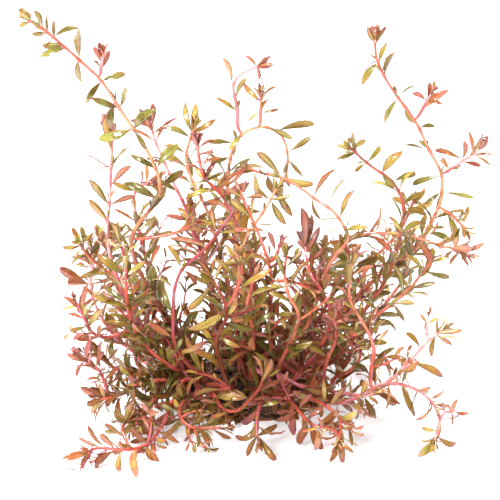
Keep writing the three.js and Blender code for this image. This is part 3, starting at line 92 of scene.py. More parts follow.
# How green or red each kind of shoot's leaves are: the middle and the spread of the tone, and the tone of the
# young leaves at its tip.
LEAF_TONES = {
    "salmon_shoot": (0.27, 0.22, 0.62),
    "coral_shoot": (0.39, 0.26, 0.68),
    "olive_shoot": (0.13, 0.16, 0.34),
    "olive_brown_shoot": (0.31, 0.22, 0.48),
    "yellow_olive_shoot": (0.26, 0.14, 0.38),
    "pink_shoot": (0.42, 0.28, 0.78),
    "purple_shoot": (0.52, 0.34, 0.9),
    "tall_stem_left": (0.07, 0.06, 0.42),
    "tall_stem_right": (0.08, 0.07, 0.64),
    "curved_stem_right": (0.22, 0.14, 0.22),
    "arch_stem": (0.2, 0.08, 0.36),
    "small_shoot_on_arch": (0.42, 0.12, 0.5),
    "upright_branch_centre": (0.3, 0.14, 0.7),
    "side_shoot_right_top": (0.56, 0.12, 0.68),
    "side_shoot_far_left_top": (0.8, 0.1, 0.9),
    "long_diagonal_stem": (0.32, 0.14, 0.42),
    "purple_bud_stem": (0.8, 0.14, 0.93),
    "pink_cluster_shoot": (0.76, 0.26, 0.86),
    "front_drop_shoot": (0.4, 0.12, 0.5),
    "runner_front_left": (0.58, 0.12, 0.6),
    "front_right_low_shoot": (0.6, 0.16, 0.66),
    "front_right_stem": (0.42, 0.14, 0.34),
    "trailing_stem_right": (0.47, 0.14, 0.38),
    "pale_front_shoot": (0.5, 0.28, 0.5),
    "coral_stem_front": (0.5, 0.24, 0.5),
}

# The same for the stems: the tone, and how light they are.
STEM_TONES = {
    "salmon_shoot": (0.27, 0.9),
    "coral_shoot": (0.5, 0.95),
    "olive_shoot": (0.38, 0.95),
    "olive_brown_shoot": (0.42, 0.92),
    "yellow_olive_shoot": (0.12, 1.0),
    "pink_shoot": (0.84, 0.95),
    "purple_shoot": (0.66, 0.95),
    "tall_stem_left": (0.08, 0.72),
    "tall_stem_right": (0.12, 0.76),
    "upright_stem_left": (0.93, 0.86),
    "pink_stem_left_centre": (0.98, 1.25),
    "side_shoot_right_middle": (1.1, 0.97),
    "side_shoot_right_top": (0.9, 0.95),
    "side_shoot_far_left_top": (0.9, 0.8),
    "curved_stem_right": (0.36, 0.62),
    "arch_stem": (0.06, 1.0),
    "upright_branch_centre": (1.1, 0.82),
    "long_diagonal_stem": (0.3, 0.84),
    "magenta_stem": (0.75, 0.36),
    "centre_left_fork": (0.46, 0.2),
    "centre_left_fork_branch": (0.54, 0.6),
    "pink_horizontal_stem": (0.24, 1.0),
    "right_diagonal_stem": (0.26, 0.6),
    "front_right_stem": (0.96, 1.4),
    "thick_red_stem": (0.38, 1.2),
    "trailing_stem_right": (1.0, 0.87),
    "pink_vertical_left": (0.97, 1.1),
    "runner_front_left": (0.66, 0.95),
    "left_low_stem": (0.4, 1.9),
    "left_red_arch": (0.72, 0.95),
    "coral_stem_front": (0.5, 0.5),
    "red_vertical_left": (0.6, 0.85),
}

# Shoots whose foot is bare, and how much of it, as a share of their length.
BARE_FEET = {
    "magenta_stem": 0.9,
    "centre_stem": 0.32,
    "front_red_shoot": 0.6,
    "coral_stem_front": 0.45,
    "left_red_arch": 0.3,
    "front_right_stem": 0.45,
    "trailing_stem_right": 0.4,
}

# Shoots whose filling pairs stand closer or farther apart, and their distance as a share of that of the
# others.
CROWDED_SHOOTS = {
    "pink_cluster_shoot": 0.6,
    "low_stem_far_left": 0.6,
    "low_stem_left": 0.5,
    "left_low_stem": 0.45,
    "magenta_shoot_left": 0.75,
    "red_vertical_left": 0.7,
    "front_left_low_shoot": 0.65,
    "front_right_stem": 1.3,
    "trailing_stem_right": 1.3,
    "front_right_low_shoot": 0.7,
    "branch_right_bright": 0.4,
    "pink_horizontal_stem": 0.45,
    "tall_stem_right": 0.6,
    "centre_left_fork_branch": 0.75,
    "side_shoot_far_left_top": 0.6,
    "purple_shoot_centre": 0.6,
    "orange_branch_left": 0.65,
    "back_stem_left": 0.75,
    "pink_stem_left_centre": 0.85,
}

# Shoots that are leafy up to their tips, and the share of the filling pairs that they keep there.
LEAFY_TIPS = {
    "purple_shoot_centre": 1.0,
    "orange_branch_left": 0.9,
    "back_stem_left": 0.9,
    "magenta_shoot_left": 0.8,
    "olive_stem_centre": 0.5,
    "pink_stem_left_centre": 0.4,
    "back_stem_centre": 0.8,
}

# Shoots whose young leaves close to a round head: how long, how broad and how upright they are.
ROUND_HEADS = {
    "tall_stem_left": (0.95, 0.74, 0.1),
    "tall_stem_right": (1.05, 0.8, 0.08),
}

# Stems that turn red towards the tip, and how far.
RED_TIPS = {
    "tall_stem_left": 0.52,
    "tall_stem_right": 0.42,
    "curved_stem_right": 0.1,
}

# Stems thinner than their solids, as a share.
THIN_STEMS = {
    "pink_horizontal_stem": 0.72,
    "side_shoot_right_middle": 0.85,
    "trailing_stem_right": 0.88,
}

# Shoots with broad leaves, and how much broader than those of the others.
BROAD_LEAVES = {
    "tall_stem_left": 1.3,
    "tall_stem_right": 1.15,
    "side_shoot_right_top": 1.2,
    "curved_stem_right": 1.2,
    "front_right_stem": 1.1,
    "trailing_stem_right": 1.15,
    "front_right_low_shoot": 1.2,
    "runner_front_left": 1.15,
    "pink_cluster_shoot": 1.3,
}

# The shoots that each operator makes.
SHOOT_GROUPS = {
    "tall": (
        "tall_stem_left side_shoot_far_left_top tall_stem_right side_shoot_right_top "
        "side_shoot_right_middle branch_right_bright upright_stem_left"
    ).split(),
    "left": (
        "left_red_arch left_stem_upper pink_vertical_left magenta_shoot_left red_vertical_left "
        "orange_branch_left left_low_stem pink_cluster_shoot"
    ).split(),
    "centre": (
        "pink_stem_left_centre olive_stem_centre purple_shoot_centre arch_stem upright_branch_centre "
        "small_shoot_on_arch long_diagonal_stem pale_stem_centre purple_bud_stem centre_stem centre_bud "
        "bright_red_side_shoot magenta_stem centre_left_fork centre_left_fork_branch"
    ).split(),
    "right": (
        "curved_stem_right pink_horizontal_stem orange_stem_right right_diagonal_stem front_right_stem "
        "thick_red_stem"
    ).split(),
    "front": (
        "trailing_stem_right runner_front_left runner_side_shoot coral_stem_front pale_front_shoot "
        "front_left_low_shoot front_right_low_shoot front_drop_shoot front_red_shoot"
    ).split(),
    "middle": (
        "low_stem_far_left low_stem_left middle_stem_front middle_stem_front_right middle_stem_right "
        "low_stem_right"
    ).split(),
    "back": (
        "back_stem_far_left back_stem_left back_stem_centre back_stem_right back_stem_far_right "
        "back_low_stem_left back_low_stem_right back_low_stem_centre"
    ).split(),
}


def colour_property(name, description, value):
    """A colour that a user can change."""
    return bpy.props.FloatVectorProperty(
        name=name, description=description, default=value, subtype="COLOR", min=0.0, max=1.0
    )


def length_property(name, description, value):
    """A length that a user can change, in metres."""
    return bpy.props.FloatProperty(
        name=name, description=description, default=value, unit="LENGTH", min=0.0, precision=5
    )


def share_property(name, description, value):
    """A share that a user can change."""
    return bpy.props.FloatProperty(name=name, description=description, default=value, min=0.0)


def count_property(name, description, value):
    """A number of parts that a user can change."""
    return bpy.props.IntProperty(name=name, description=description, default=value, min=0)


class LeafSettings(bpy.types.PropertyGroup):
    """Sizes and colours of the leaves."""

    thickness: length_property("Thickness", "Thickness of a blade beside its midrib", 0.16 * MM)
    spacing: length_property("Spacing", "Distance between pairs at the top of the dense part", 6.5 * MM)
    crowding: share_property("Crowding", "Distance between pairs at the ground, as a share of it", 0.6)
    length: length_property("Length", "Length of the leaves that fill the dense part", 10.5 * MM)
    width_share: share_property("Width share", "Width of a filling leaf as a share of its length", 0.245)
    dense_height: length_property("Dense height", "Height up to which the clump is dense", 62 * MM)
    bare_height: length_property("Bare height", "Height above which no filling leaves grow", 96 * MM)
    # Painted shade: the next four settings paint the leaves and stems darker round a place low in the middle
    # of the clump, where the clump shades itself, and a little lighter at the top, which is painted light.
    # The dark middle is partly also the darker colour of old growth low down.
    painted_shade_height: length_property("Dark height", "Height of the darkest place in the clump", 12 * MM)
    painted_light_distance: length_property("Light distance", "How far from that place leaves are fully lit", 75 * MM)
    painted_inner_shade: share_property("Inner shade", "How light the leaves are in the middle of the clump", 0.26)
    painted_top_light: share_property("Top shade", "How much lighter the leaves are at the top", 0.04)
    arch: share_property("Arch", "How far a blade arches, as a share of its length", 0.07)
    hook: share_property("Hook", "How far the tip of the most curled blades drops, as a share", 0.22)
    fold: share_property("Fold", "How steeply the halves of a blade rise from the midrib", 0.3)
    deep_green: colour_property("Deep green", "Oldest leaves low in the clump", (0.1, 0.105, 0.008))
    green: colour_property("Green", "Fresh leaves on the tall stems", (0.2, 0.25, 0.04))
    olive: colour_property("Olive", "Grown leaves", (0.29, 0.265, 0.025))
    yellow_olive: colour_property("Yellow olive", "Lit leaves higher up", (0.6, 0.46, 0.07))
    orange_brown: colour_property("Orange brown", "Leaves turning red", (0.58, 0.25, 0.055))
    red_brown: colour_property("Red brown", "Red leaves", (0.52, 0.115, 0.05))
    pink: colour_property("Pink", "Young leaves at the tips", (0.72, 0.2, 0.15))
    purple: colour_property("Purple", "Dull purple leaves", (0.36, 0.072, 0.1))
    rib: colour_property("Midrib", "Midrib and side veins", (0.7, 0.38, 0.2))
    underside: colour_property("Underside", "Paler back of a blade", (0.5, 0.29, 0.17))
    # Brown tints the blades where the painted shade of the clump is deep, partly painted shade and partly the
    # browning of old leaves.
    brown: colour_property("Brown", "What the blades in the dark turn towards", (1.0, 0.6, 0.3))
    margin: colour_property("Margin", "Edge of a blade", (0.3, 0.07, 0.035))


class StemSettings(bpy.types.PropertyGroup):
    """Sizes and colours of the stems."""

    thickness_share: share_property("Thickness share", "Stem radius as a share of the solid's corner", 0.75)
    side_share: share_property("Side shoot share", "The same for stems that begin off the mat", 0.68)
    swelling: share_property("Swelling", "How much thicker a stem is at a node", 0.3)
    step: length_property("Step", "Distance between the stem's rings", 1.0 * MM)
    twigs: share_property("Twigs", "Share of the low pairs that have a small side twig", 0.4)
    threads: share_property("Threads", "Share of the nodes that have a fine thread of root", 0.3)
    # Painted shade: stems in the middle and at the back of the clump are painted darker by this share.
    painted_hidden_shade: share_property("Hidden", "How light the stems in the middle and at the back are", 0.85)
    fade: share_property("Fade", "How far a stem's foot is coral red whatever its own tone", 0.85)
    pale: colour_property("Pale", "Palest stems", (0.75, 0.43, 0.21))
    salmon: colour_property("Salmon", "Salmon orange stems", (0.76, 0.28, 0.155))
    coral: colour_property("Coral", "Coral red stems", (0.74, 0.13, 0.075))
    wine: colour_property("Wine", "Dull red stems", (0.6, 0.07, 0.055))
    magenta: colour_property("Magenta", "Pink stems", (0.66, 0.12, 0.19))
    rose: colour_property("Rose", "Pale pink stems", (0.74, 0.32, 0.33))
    node_tint: colour_property("Node tint", "Colour of the nodes", (0.6, 0.1, 0.05))
    # The pale streaks are partly painted highlight lines along the stem.
    streak_and_highlight: colour_property("Streak", "Pale streaks along a stem", (0.86, 0.54, 0.4))
    speck: colour_property("Speck", "Dark red specks on a stem", (0.4, 0.06, 0.05))


class RootSettings(bpy.types.PropertyGroup):
    """Sizes and colours of the root tangle."""

    fibres: count_property("Fibres", "Number of root fibres", 420)
    old_stems: count_property("Old stems", "Number of bare old stems", 46)
    leaves: count_property("Leaves", "Number of dark leaves", 420)
    leaf_length: length_property("Leaf length", "Length of the dark leaves on the tangle", 7.5 * MM)
    fibre_radius: length_property("Fibre radius", "Radius of a root fibre", 0.3 * MM)
    stem_radius: length_property("Stem radius", "Radius of an old stem", 0.75 * MM)
    dark: colour_property("Dark", "Deep inside the tangle", (0.02, 0.011, 0.007))
    brown: colour_property("Brown", "Roots on the outside", (0.12, 0.055, 0.028))
    old: colour_property("Old stem", "Bare old stems", (0.3, 0.1, 0.04))


class StageSettings(bpy.types.PropertyGroup):
    """Floor and light."""

    floor: colour_property("Floor", "Pale floor", (0.86, 0.85, 0.86))
    glow: share_property("Glow", "How much the floor glows, which keeps its shadows pale", 0.5)
    sky: share_property("Sky", "Strength of the light from all round", 0.36)
    sun: share_property("Sun", "Strength of the soft light from above", 4.5)
    front: share_property("Front", "Power of the front light in watts", 6.0)


# Curves and surfaces

LEAST_LENGTH = 1e-12
FEWEST_RINGS = 4


def unit(vectors):
    """Vectors of length one."""
    return vectors / np.maximum(np.linalg.norm(vectors, axis=-1, keepdims=True), LEAST_LENGTH)


def smooth_line(points, step):
    """A smooth line through points, about step apart, the length along it, and that length at the points.

    Between two points it is the cubic whose end slopes are the slopes of both neighbouring chords, weighted
    by the length of the other chord.
    """
    chord = np.linalg.norm(np.diff(points, axis=0), axis=1)
    knots = np.concatenate([[0.0], np.cumsum(chord)])
    slope = np.diff(points, axis=0) / chord[:, None]
    before, after = chord[:-1, None], chord[1:, None]
    inner = (slope[:-1] * after + slope[1:] * before) / (before + after)
    ends = np.concatenate([slope[:1], inner, slope[-1:]])
    at = np.linspace(0.0, knots[-1], max(FEWEST_RINGS, int(round(knots[-1] / step)) + 1))
    piece = np.clip(np.searchsorted(knots, at, side="right") - 1, 0, len(chord) - 1)
    span = chord[piece][:, None]
    t = ((at - knots[piece]) / chord[piece])[:, None]
    line = (
        points[piece] * (2 * t**3 - 3 * t**2 + 1)
        + ends[piece] * span * (t**3 - 2 * t**2 + t)
        + points[piece + 1] * (3 * t**2 - 2 * t**3)
        + ends[piece + 1] * span * (t**3 - t**2)
    )
    return line, at, knots


FIXED_WAYS = unit(np.array([[1, 0, 0], [0, 1, 0], [0, 0, 1], [1, 1, 0], [1, -1, 0], [0, 1, 1], [0, 1, -1.0]]))


def line_frames(line):
    """Tangent, side and front of a line: the side is square to the tangent and to the one of several fixed
    directions that the line runs along least.
    """
    tangent = unit(np.gradient(line, axis=0))
    steepest = np.abs(tangent @ FIXED_WAYS.T).max(axis=0)
    side = unit(np.cross(tangent, FIXED_WAYS[np.argmin(steepest)]))
    return tangent, side, np.cross(tangent, side)


def ring_faces(rows, sides):
    """Faces of a closed skin: rows rings of sides points each, and after them a pole for each end. Returns
    the four-sided faces between the rings and the three-sided ones at the poles.
    """
    i, j = np.meshgrid(np.arange(rows - 1), np.arange(sides), indexing="ij")
    after = (j + 1) % sides
    quads = np.stack([i * sides + j, i * sides + after, (i + 1) * sides + after, (i + 1) * sides + j], -1)
    j, after = j[0], after[0]
    last, pole = (rows - 1) * sides, rows * sides
    low = np.stack([after, j, np.full(sides, pole)], -1)
    high = np.stack([last + j, last + after, np.full(sides, pole + 1)], -1)
    return quads.reshape(-1, 4), np.concatenate([low, high])


# How far the closed ends of a tube stand out, as shares of its radius.
START_BULGE, END_BULGE = 0.3, 0.9


def tube(line, radius, sides):
    """A closed tube: a circle of sides points, carried along a line and scaled by the radius, with a point at
    each end. Returns points, faces, and for each point its ring and its share round.
    """
    tangent, side, front = line_frames(line)
    angle = np.arange(sides) * 2 * np.pi / sides
    circle = np.cos(angle)[None, :, None] * side[:, None] + np.sin(angle)[None, :, None] * front[:, None]
    rings = line[:, None] + circle * radius[:, None, None]
    start = line[0] - tangent[0] * radius[0] * START_BULGE
    end = line[-1] + tangent[-1] * radius[-1] * END_BULGE
    rows = len(line)
    ring = np.concatenate([np.repeat(np.arange(rows), sides), [0, rows - 1]])
    around = np.concatenate([np.tile(np.arange(sides) / sides, rows), [0.0, 0.0]])
    return np.concatenate([rings.reshape(-1, 3), [start, end]]), *ring_faces(rows, sides), ring, around


# The rows of a blade along its length, its section as shares of half the width, how thick the section is at
# each of its points, and how far each belongs to the underside: left edge, over the blade to the right edge,
# and back under it.
BLADE_ROWS = np.array([0.07, 0.22, 0.4, 0.6, 0.8, 0.95])
BLADE_ACROSS = np.array([-1.0, -0.5, 0.0, 0.5, 1.0, 0.0])
BLADE_THICK = np.array([0.0, 0.5, 0.3, 0.5, 0.0, -1.1])
BLADE_UNDER = np.array([0.5, 0.0, 0.0, 0.0, 0.5, 1.0])
BLADE_POINTS = len(BLADE_ROWS) * len(BLADE_ACROSS) + 2

# Where a blade's twist is nothing, the number and height of the waves of its edge, how thick its ends are as
# a share of its middle, and its stalk: half its width, what it adds to the thickness, and how soon that ends.
TWIST_CENTRE = 0.35
EDGE_WAVES, EDGE_WAVE_HEIGHT = 2.3, 0.14
END_THICKNESS = 0.45
STALK_HALF_WIDTH, STALK_THICKNESS, STALK_SHARE = 0.22 * MM, 0.35 * MM, 0.05


def blades(base, tip, right, width, thick, arch, hook, sickle, twist, fold, wave, widen, narrow):
    """Closed leaf blades, all at once. At a share u of the length, the midrib lies on the line from base to
    tip, raised by arch and moved aside by sickle times 4u(1-u), and its end drops by hook times u to the
    power 4. Half the width there is u to the power widen times (1-u) to the power narrow, over its largest
    value. The section turns by twist times (u - TWIST_CENTRE) about the midrib, its halves rise by fold, and
    its edges wave. Returns points, faces and the fields that say where on its blade each point is.
    """
    arch, hook, sickle, twist, fold, wave = (
        values[:, None, None] for values in (arch, hook, sickle, twist, fold, wave)
    )
    widen, narrow = widen[:, None], narrow[:, None]
    u = np.concatenate([[0.0], BLADE_ROWS, [1.0]])
    along = u[None, :, None]
    forward = unit(tip - base)
    length = np.linalg.norm(tip - base, axis=1)[:, None, None]
    right = unit(right - forward * np.sum(right * forward, axis=1, keepdims=True))[:, None]
    forward = forward[:, None]
    top = np.cross(forward, right)
    bow = 4 * along * (1 - along)
    spine = base[:, None] + forward * length * along + right * length * sickle * bow
    spine = spine + top * length * (arch * bow - hook * along**4)
    turn = twist * (along - TWIST_CENTRE)
    side = right * np.cos(turn) + top * np.sin(turn)
    above = top * np.cos(turn) - right * np.sin(turn)

    peak = widen / (widen + narrow)
    shape = (u**widen * (1 - u) ** narrow) / (peak**widen * (1 - peak) ** narrow)
    half = np.maximum(width[:, None] / 2 * shape, STALK_HALF_WIDTH * (1 - u))[:, :, None]
    ripple = np.sin(2 * np.pi * (EDGE_WAVES * along + wave)) * along
    body = thick * (END_THICKNESS + (1 - END_THICKNESS) * shape[:, :, None])
    body = body + STALK_THICKNESS * np.exp(-along / STALK_SHARE)
    rise = half * (fold * np.abs(BLADE_ACROSS) + EDGE_WAVE_HEIGHT * BLADE_ACROSS * ripple)
    rise = rise + BLADE_THICK * body
    rows = spine[:, :, None] + side[:, :, None] * (half * BLADE_ACROSS)[..., None]
    rows = (rows + above[:, :, None] * rise[..., None])[:, 1:-1]
    points = np.concatenate([rows.reshape(len(base), -1, 3), spine[:, :1], spine[:, -1:]], axis=1)

    # The section runs the other way round than a tube's, so the faces are turned over.
    quads, caps = ring_faces(len(BLADE_ROWS), len(BLADE_ACROSS))
    shift = (np.arange(len(base)) * BLADE_POINTS)[:, None, None]
    quads = (quads[:, [0, 3, 2, 1]] + shift).reshape(-1, 4)
    caps = (caps[:, [1, 0, 2]] + shift).reshape(-1, 3)
    fields = {
        "along": np.concatenate([np.repeat(BLADE_ROWS, len(BLADE_ACROSS)), [0.0, 1.0]]),
        "across": np.concatenate([np.tile(BLADE_ACROSS, len(BLADE_ROWS)), [0.0, 0.0]]),
        "under": np.concatenate([np.tile(BLADE_UNDER, len(BLADE_ROWS)), [0.5, 0.5]]),
    }
    fields = {name: np.tile(values, len(base)) for name, values in fields.items()}
    return points.reshape(-1, 3), quads, caps, fields


class Skin:
    """One mesh put together from closed parts, with its fields and material slots."""

    # One field holds each part's own lightness and, on the shoots, the painted shade of the clump.
    FIELDS = ("tone", "shade", "under", "across", "along", "blush")

    def __init__(self):
        self.parts = []
        self.count = 0

    def add(self, points, quads, caps, slot, **fields):
        """Adds a closed part. Each field is one number, or one for each point."""
        values = [np.broadcast_to(fields.get(name, 0.0), len(points)) for name in self.FIELDS]
        slots = np.full(len(quads), slot), np.full(len(caps), slot)
        self.parts.append((points, quads + self.count, caps + self.count, *slots, np.array(values, float)))
        self.count += len(points)

    def make(self, name, materials, low):
        """The Blender object, with no point below the height low."""
        points, quads, caps, quad_slots, cap_slots, fields = zip(*self.parts)
        points, quads, caps = np.concatenate(points), np.concatenate(quads), np.concatenate(caps)
        points[:, 2] = np.maximum(points[:, 2], low)
        corners = np.concatenate([quads.ravel(), caps.ravel()])
        sizes = np.repeat([4, 3], [len(quads), len(caps)])
        mesh = bpy.data.meshes.new(name)
        mesh.vertices.add(len(points))
        mesh.vertices.foreach_set("co", points.astype(np.float32).ravel())
        mesh.loops.add(len(corners))
        mesh.loops.foreach_set("vertex_index", corners.astype(np.int32))
        mesh.polygons.add(len(sizes))
        mesh.polygons.foreach_set("loop_start", (np.cumsum(sizes) - sizes).astype(np.int32))
        mesh.polygons.foreach_set("material_index", np.concatenate(quad_slots + cap_slots).astype(np.int32))
        mesh.polygons.foreach_set("use_smooth", np.ones(len(sizes), bool))
        for field, values in zip(self.FIELDS, np.concatenate(fields, axis=1)):
            attribute = mesh.attributes.new(field, "FLOAT", "POINT")
            attribute.data.foreach_set("value", values.astype(np.float32))
        for material in materials:
            mesh.materials.append(material)
        mesh.update(calc_edges=True)
        mesh.validate()
        piece = bpy.data.objects.new(name, mesh)
        bpy.context.scene.collection.objects.link(piece)
        return piece


# Reading the solids


def read_solid(node):
    """The points of a node's solid, and a square table of which of them are neighbours."""
    mesh = frame["nodes"][node].data
    places = np.empty(len(mesh.vertices) * 3, np.float32)
    mesh.vertices.foreach_get("co", places)
    corners = np.empty(len(mesh.loops), np.int32)
    mesh.loops.foreach_get("vertex_index", corners)
    points, index = np.unique(np.round(places.reshape(-1, 3), 6), axis=0, return_inverse=True)
    corners = index.ravel()[corners].reshape(-1, 3)
    near = np.zeros((len(points), len(points)), bool)
    for one, two in ((0, 1), (1, 2), (2, 0)):
        near[corners[:, one], corners[:, two]] = True
        near[corners[:, two], corners[:, one]] = True
    return points.astype(float), near


def leaf_corners(points, near, count, one, two):
    """A leaf's tip, right edge and left edge, and the four points round its base. One and two are the tip and
    the right edge, in either order. What both of them touch is the left edge and the lowest of the four.
    """
    common = np.nonzero(near[one] & near[two])[0]
    left = common[np.argmin(count[common])]
    low = common[np.argmax(count[common])]
    far = np.linalg.norm(points[[one, two]] - points[low], axis=1)
    tip, right = (one, two) if far[0] > far[1] else (two, one)
    known = {left, low, tip, right}
    (other,) = set(np.nonzero(near[tip])[0]) - known
    (high,) = set(np.nonzero(near[right])[0]) - known
    (high_other,) = set(np.nonzero(near[left])[0]) - known - {other, high}
    return tip, right, left, other, low, high, high_other


def stem_rings(near, apex, of_leaf):
    """The stem's rings, base first, and the number of each point's ring. From the tip down, each ring is what
    touches the one before and has not been seen.
    """
    rings = []
    ring_of = np.full(len(near), -1)
    seen = of_leaf.copy()
    seen[apex] = True
    front = near[apex] & ~seen
    while front.any():
        ring_of[front] = len(rings)
        rings.append(np.nonzero(front)[0])
        seen |= front
        front = near[front].any(axis=0) & ~seen
    return rings[::-1], len(rings) - 1 - ring_of


class Solid:
    """A shoot's rings and leaf corners, read from the triangles of its solid.

    Its points are told apart by how many neighbours they have. A leaf's tip and right edge have four each and
    are neighbours, and its left edge has five. The stem's tip has four too, and so do two corners of its
    base, which share two neighbours.
    """

    def __init__(self, node):
        points, near = read_solid(node)
        count = near.sum(axis=1)
        four = count == 4
        pairs = zip(*np.nonzero(np.triu(near) & four[:, None] & four[None]))
        leaves = np.array([leaf_corners(points, near, count, *pair) for pair in pairs], int).reshape(-1, 7)
        of_leaf = np.zeros(len(points), bool)
        of_leaf[leaves[:, :3]] = True
        rest = np.nonzero(four & ~of_leaf)[0]
        shared = (near[rest].astype(int) @ near[rest].T.astype(int)).sum(axis=1)
        apex = rest[np.argmin(shared)]
        rings, ring_of = stem_rings(near, apex, of_leaf)
        self.apex = points[apex]
        self.centres = np.array([points[ring].mean(axis=0) for ring in rings])
        corners = [points[ring] - centre for ring, centre in zip(rings, self.centres)]
        self.radii = np.array([np.linalg.norm(corner, axis=1).mean() for corner in corners])
        self.leaf_tip, self.leaf_right, self.leaf_left = (points[leaves[:, corner]] for corner in range(3))
        self.leaf_base = points[leaves[:, 3:]].mean(axis=1)
        # A leaf grows from between two rings, and its low point is on the lower one.
        self.leaf_ring = ring_of[leaves[:, 4]] + 0.5


@functools.cache
def solid_of(node):
    """A shoot's solid, read once."""
    return Solid(node)


def root_dome():
    """The middle of the root mat's underside, and its half width, half depth and height."""
    low, high = (np.array(corner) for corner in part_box("root_mat"))
    return (low + high) / 2 * [1, 1, 0], (high - low) / [2, 2, 1]


# Shoots

# The solid of a stem begins on the mat if it is within ON_MAT sizes of the mat from its middle, and the stem
# goes on into it by FOOT_DEPTH. The stem of one that begins farther away goes down to IN_MAT sizes. A side
# shoot's first ring is smaller than SIDE_SHOOT_RADIUS. A bend at the base whose cosine is under SHARPEST_TURN
# is straightened, and the turns of a line are rounded in a few passes.
ON_MAT, IN_MAT = 1.35, 0.7
FOOT_DEPTH = 3.5 * MM
SIDE_SHOOT_RADIUS = 1.05 * MM
SHARPEST_TURN = 0.2
ROUNDING_PASSES = 4

# The stem: its sides, its radius at the tip, the length of a node's swelling, the height and length of its
# lumps and how far they may be moved along, how thin it starts away from the mat, and over what length it
# gets its full thickness.
STEM_SIDES = 10
TIP_RADIUS = 0.45 * MM
NODE_LENGTH = 1.1 * MM
LUMP_HEIGHT, LUMP_LENGTH, LUMP_SHIFT = 0.04, 3.1 * MM, 6
THIN_START, THIN_LENGTH = 0.55, 3 * MM

# The red of a stem's foot and the share of the length over which it goes, where the red tip begins and over
# what share it comes, and how red it is on most stems.
FOOT_TONE, FOOT_SHARE = 0.56, 0.55
RED_FROM, RED_OVER, RED_TIP = 0.66, 0.24, 0.08

# The painted shade: how the painted light grows with the distance from the centre of the painted shade, and
# where the painted lighter top begins, as a share of the dense height.
PAINTED_SHADE_POWER, PAINTED_TOP_SHARE = 1.3, 0.6

# The room that filling pairs leave at the base and at the tip, the length near the tip where leaves are
# young, how much tones differ, how far out a leaf's base is as a share of the stem's radius, how far leaves
# turn upwards, the least height of a leaf's tip, and the least height of anything.
ROOM_AT_BASE, ROOM_AT_TIP = 2 * MM, 3 * MM
YOUNG_LENGTH = 14 * MM
TONE_SPREAD, YOUNG_SPREAD = 0.8, 0.07
LEAF_ROOT = 0.5
LIFT = 0.15
LOWEST_TIP = 1.5 * MM
GROUND_GAP = 0.15 * MM

# How a kind of leaf is drawn: the range of its length as shares of a size, the range of its rise above the
# stem's cross-section and its roll about its own line, in radians, its width as a share of its length, and
# how far it turns to the young leaves' tone near the tip.
LeafKind = namedtuple("LeafKind", "lengths rises roll width young")
FILLING = LeafKind((0.6, 1.15), (0.3, 0.95), 0.7, None, 1.0)
CORNER = LeafKind((3.0, 5.5), (0.7, 1.15), 0.5, 0.3, 1.0)
YOUNG = LeafKind((0.85, 1.1), (0.95, 1.25), 0.4, 0.3, 1.5)
TWIG_LEAF = LeafKind((3.5, 6.8), (0.4, 0.95), 0.7, 0.27, 0.0)

# How widths and shades differ from leaf to leaf, and the same for the leaves that the solids have.
WIDTHS, SHADES = (0.85, 1.15), (0.5, 1.4)
OWN_WIDTHS, OWN_SHADES = (0.68, 1.0), (0.5, 1.25)

# The young leaves at the tip: how far behind it their three pairs stand, and how long they are. The share of
# the nodes that have small leaves in their corners, and how far filling pairs are turned at random.
YOUNG_BACK = np.array([0.6, 1.8, 3.2]) * MM
YOUNG_SIZES = np.array([3.6, 4.8, 6.2]) * MM
CORNER_SHARE = 0.5
FILLING_TURN = 0.3

# Twigs and threads of root: the share of the dense height up to which twigs grow, the ring of each of a
# twig's pairs, the line of both as shares, their sizes and radii at both ends in millimetres, their sides,
# how far a twig rises and leans along the stem and a thread droops, the tones, which a twig adds to those of
# its shoot, how light a thread is, and what the field along counts from ring to ring.
TWIG_HEIGHT = 0.8
TWIG_PAIRS = np.array([2, 4, 5])
SMALL_LINE = np.linspace(0, 1, 6)[:, None]
TWIG_SIZES, TWIG_RADII, TWIG_SIDES = (6, 12), (0.5, 0.3), 6
TWIG_RADIUS_AT_LEAVES = 0.35 * MM
TWIG_RISE, TWIG_LEAN = 0.4, 0.5
THREAD_SIZES, THREAD_RADII, THREAD_SIDES = (3.5, 8), (0.22, 0.12), 4
THREAD_DROOP = 0.7
TWIG_TONE, TWIG_LEAF_TONE, THREAD_TONE = 0.15, 0.08, 0.76
THREAD_SHADE = 0.3
SMALL_RING = 2.0


def foot_of(name):
    """Where a stem starts, and whether its solid begins away from the root mat. A stem starts inside the mat,
    and a side shoot, whose base is thinner, on the middle line of the stem that it grows from.
    """
    solid = solid_of(name)
    base = solid.centres[0]
    middle, half = root_dome()
    reach = np.linalg.norm((base - middle) / half)
    if reach < ON_MAT:
        return base - unit(solid.centres[1] - base) * FOOT_DEPTH, False
    if solid.radii[0] > SIDE_SHOOT_RADIUS:
        return middle + (base - middle) * IN_MAT / reach, True
    others = (solid_of(other).centres for group in SHOOT_GROUPS.values() for other in group if other != name)
    points = np.concatenate([smooth_line(line, MM)[0] for line in others if len(line) > 2])
    return points[np.argmin(np.linalg.norm(points - base, axis=1))], True


def painted_clump_shade(points, leaf):
    """Painted shade and light at points: darker in the middle of the mat, full at the outside of the dense
    part, and painted a little lighter still towards the top. The dark middle is partly painted shade and
    partly the darker colour of old growth low in the clump.
    """
    away = np.linalg.norm(points - np.array([0.0, 0.0, leaf.painted_shade_height]), axis=1)
    share = np.clip(away / leaf.painted_light_distance, 0, 1) ** PAINTED_SHADE_POWER
    climb = np.clip((points[:, 2] - leaf.dense_height * PAINTED_TOP_SHARE) / leaf.dense_height, 0, 1)
    return leaf.painted_inner_shade + (1 - leaf.painted_inner_shade) * share + leaf.painted_top_light * climb


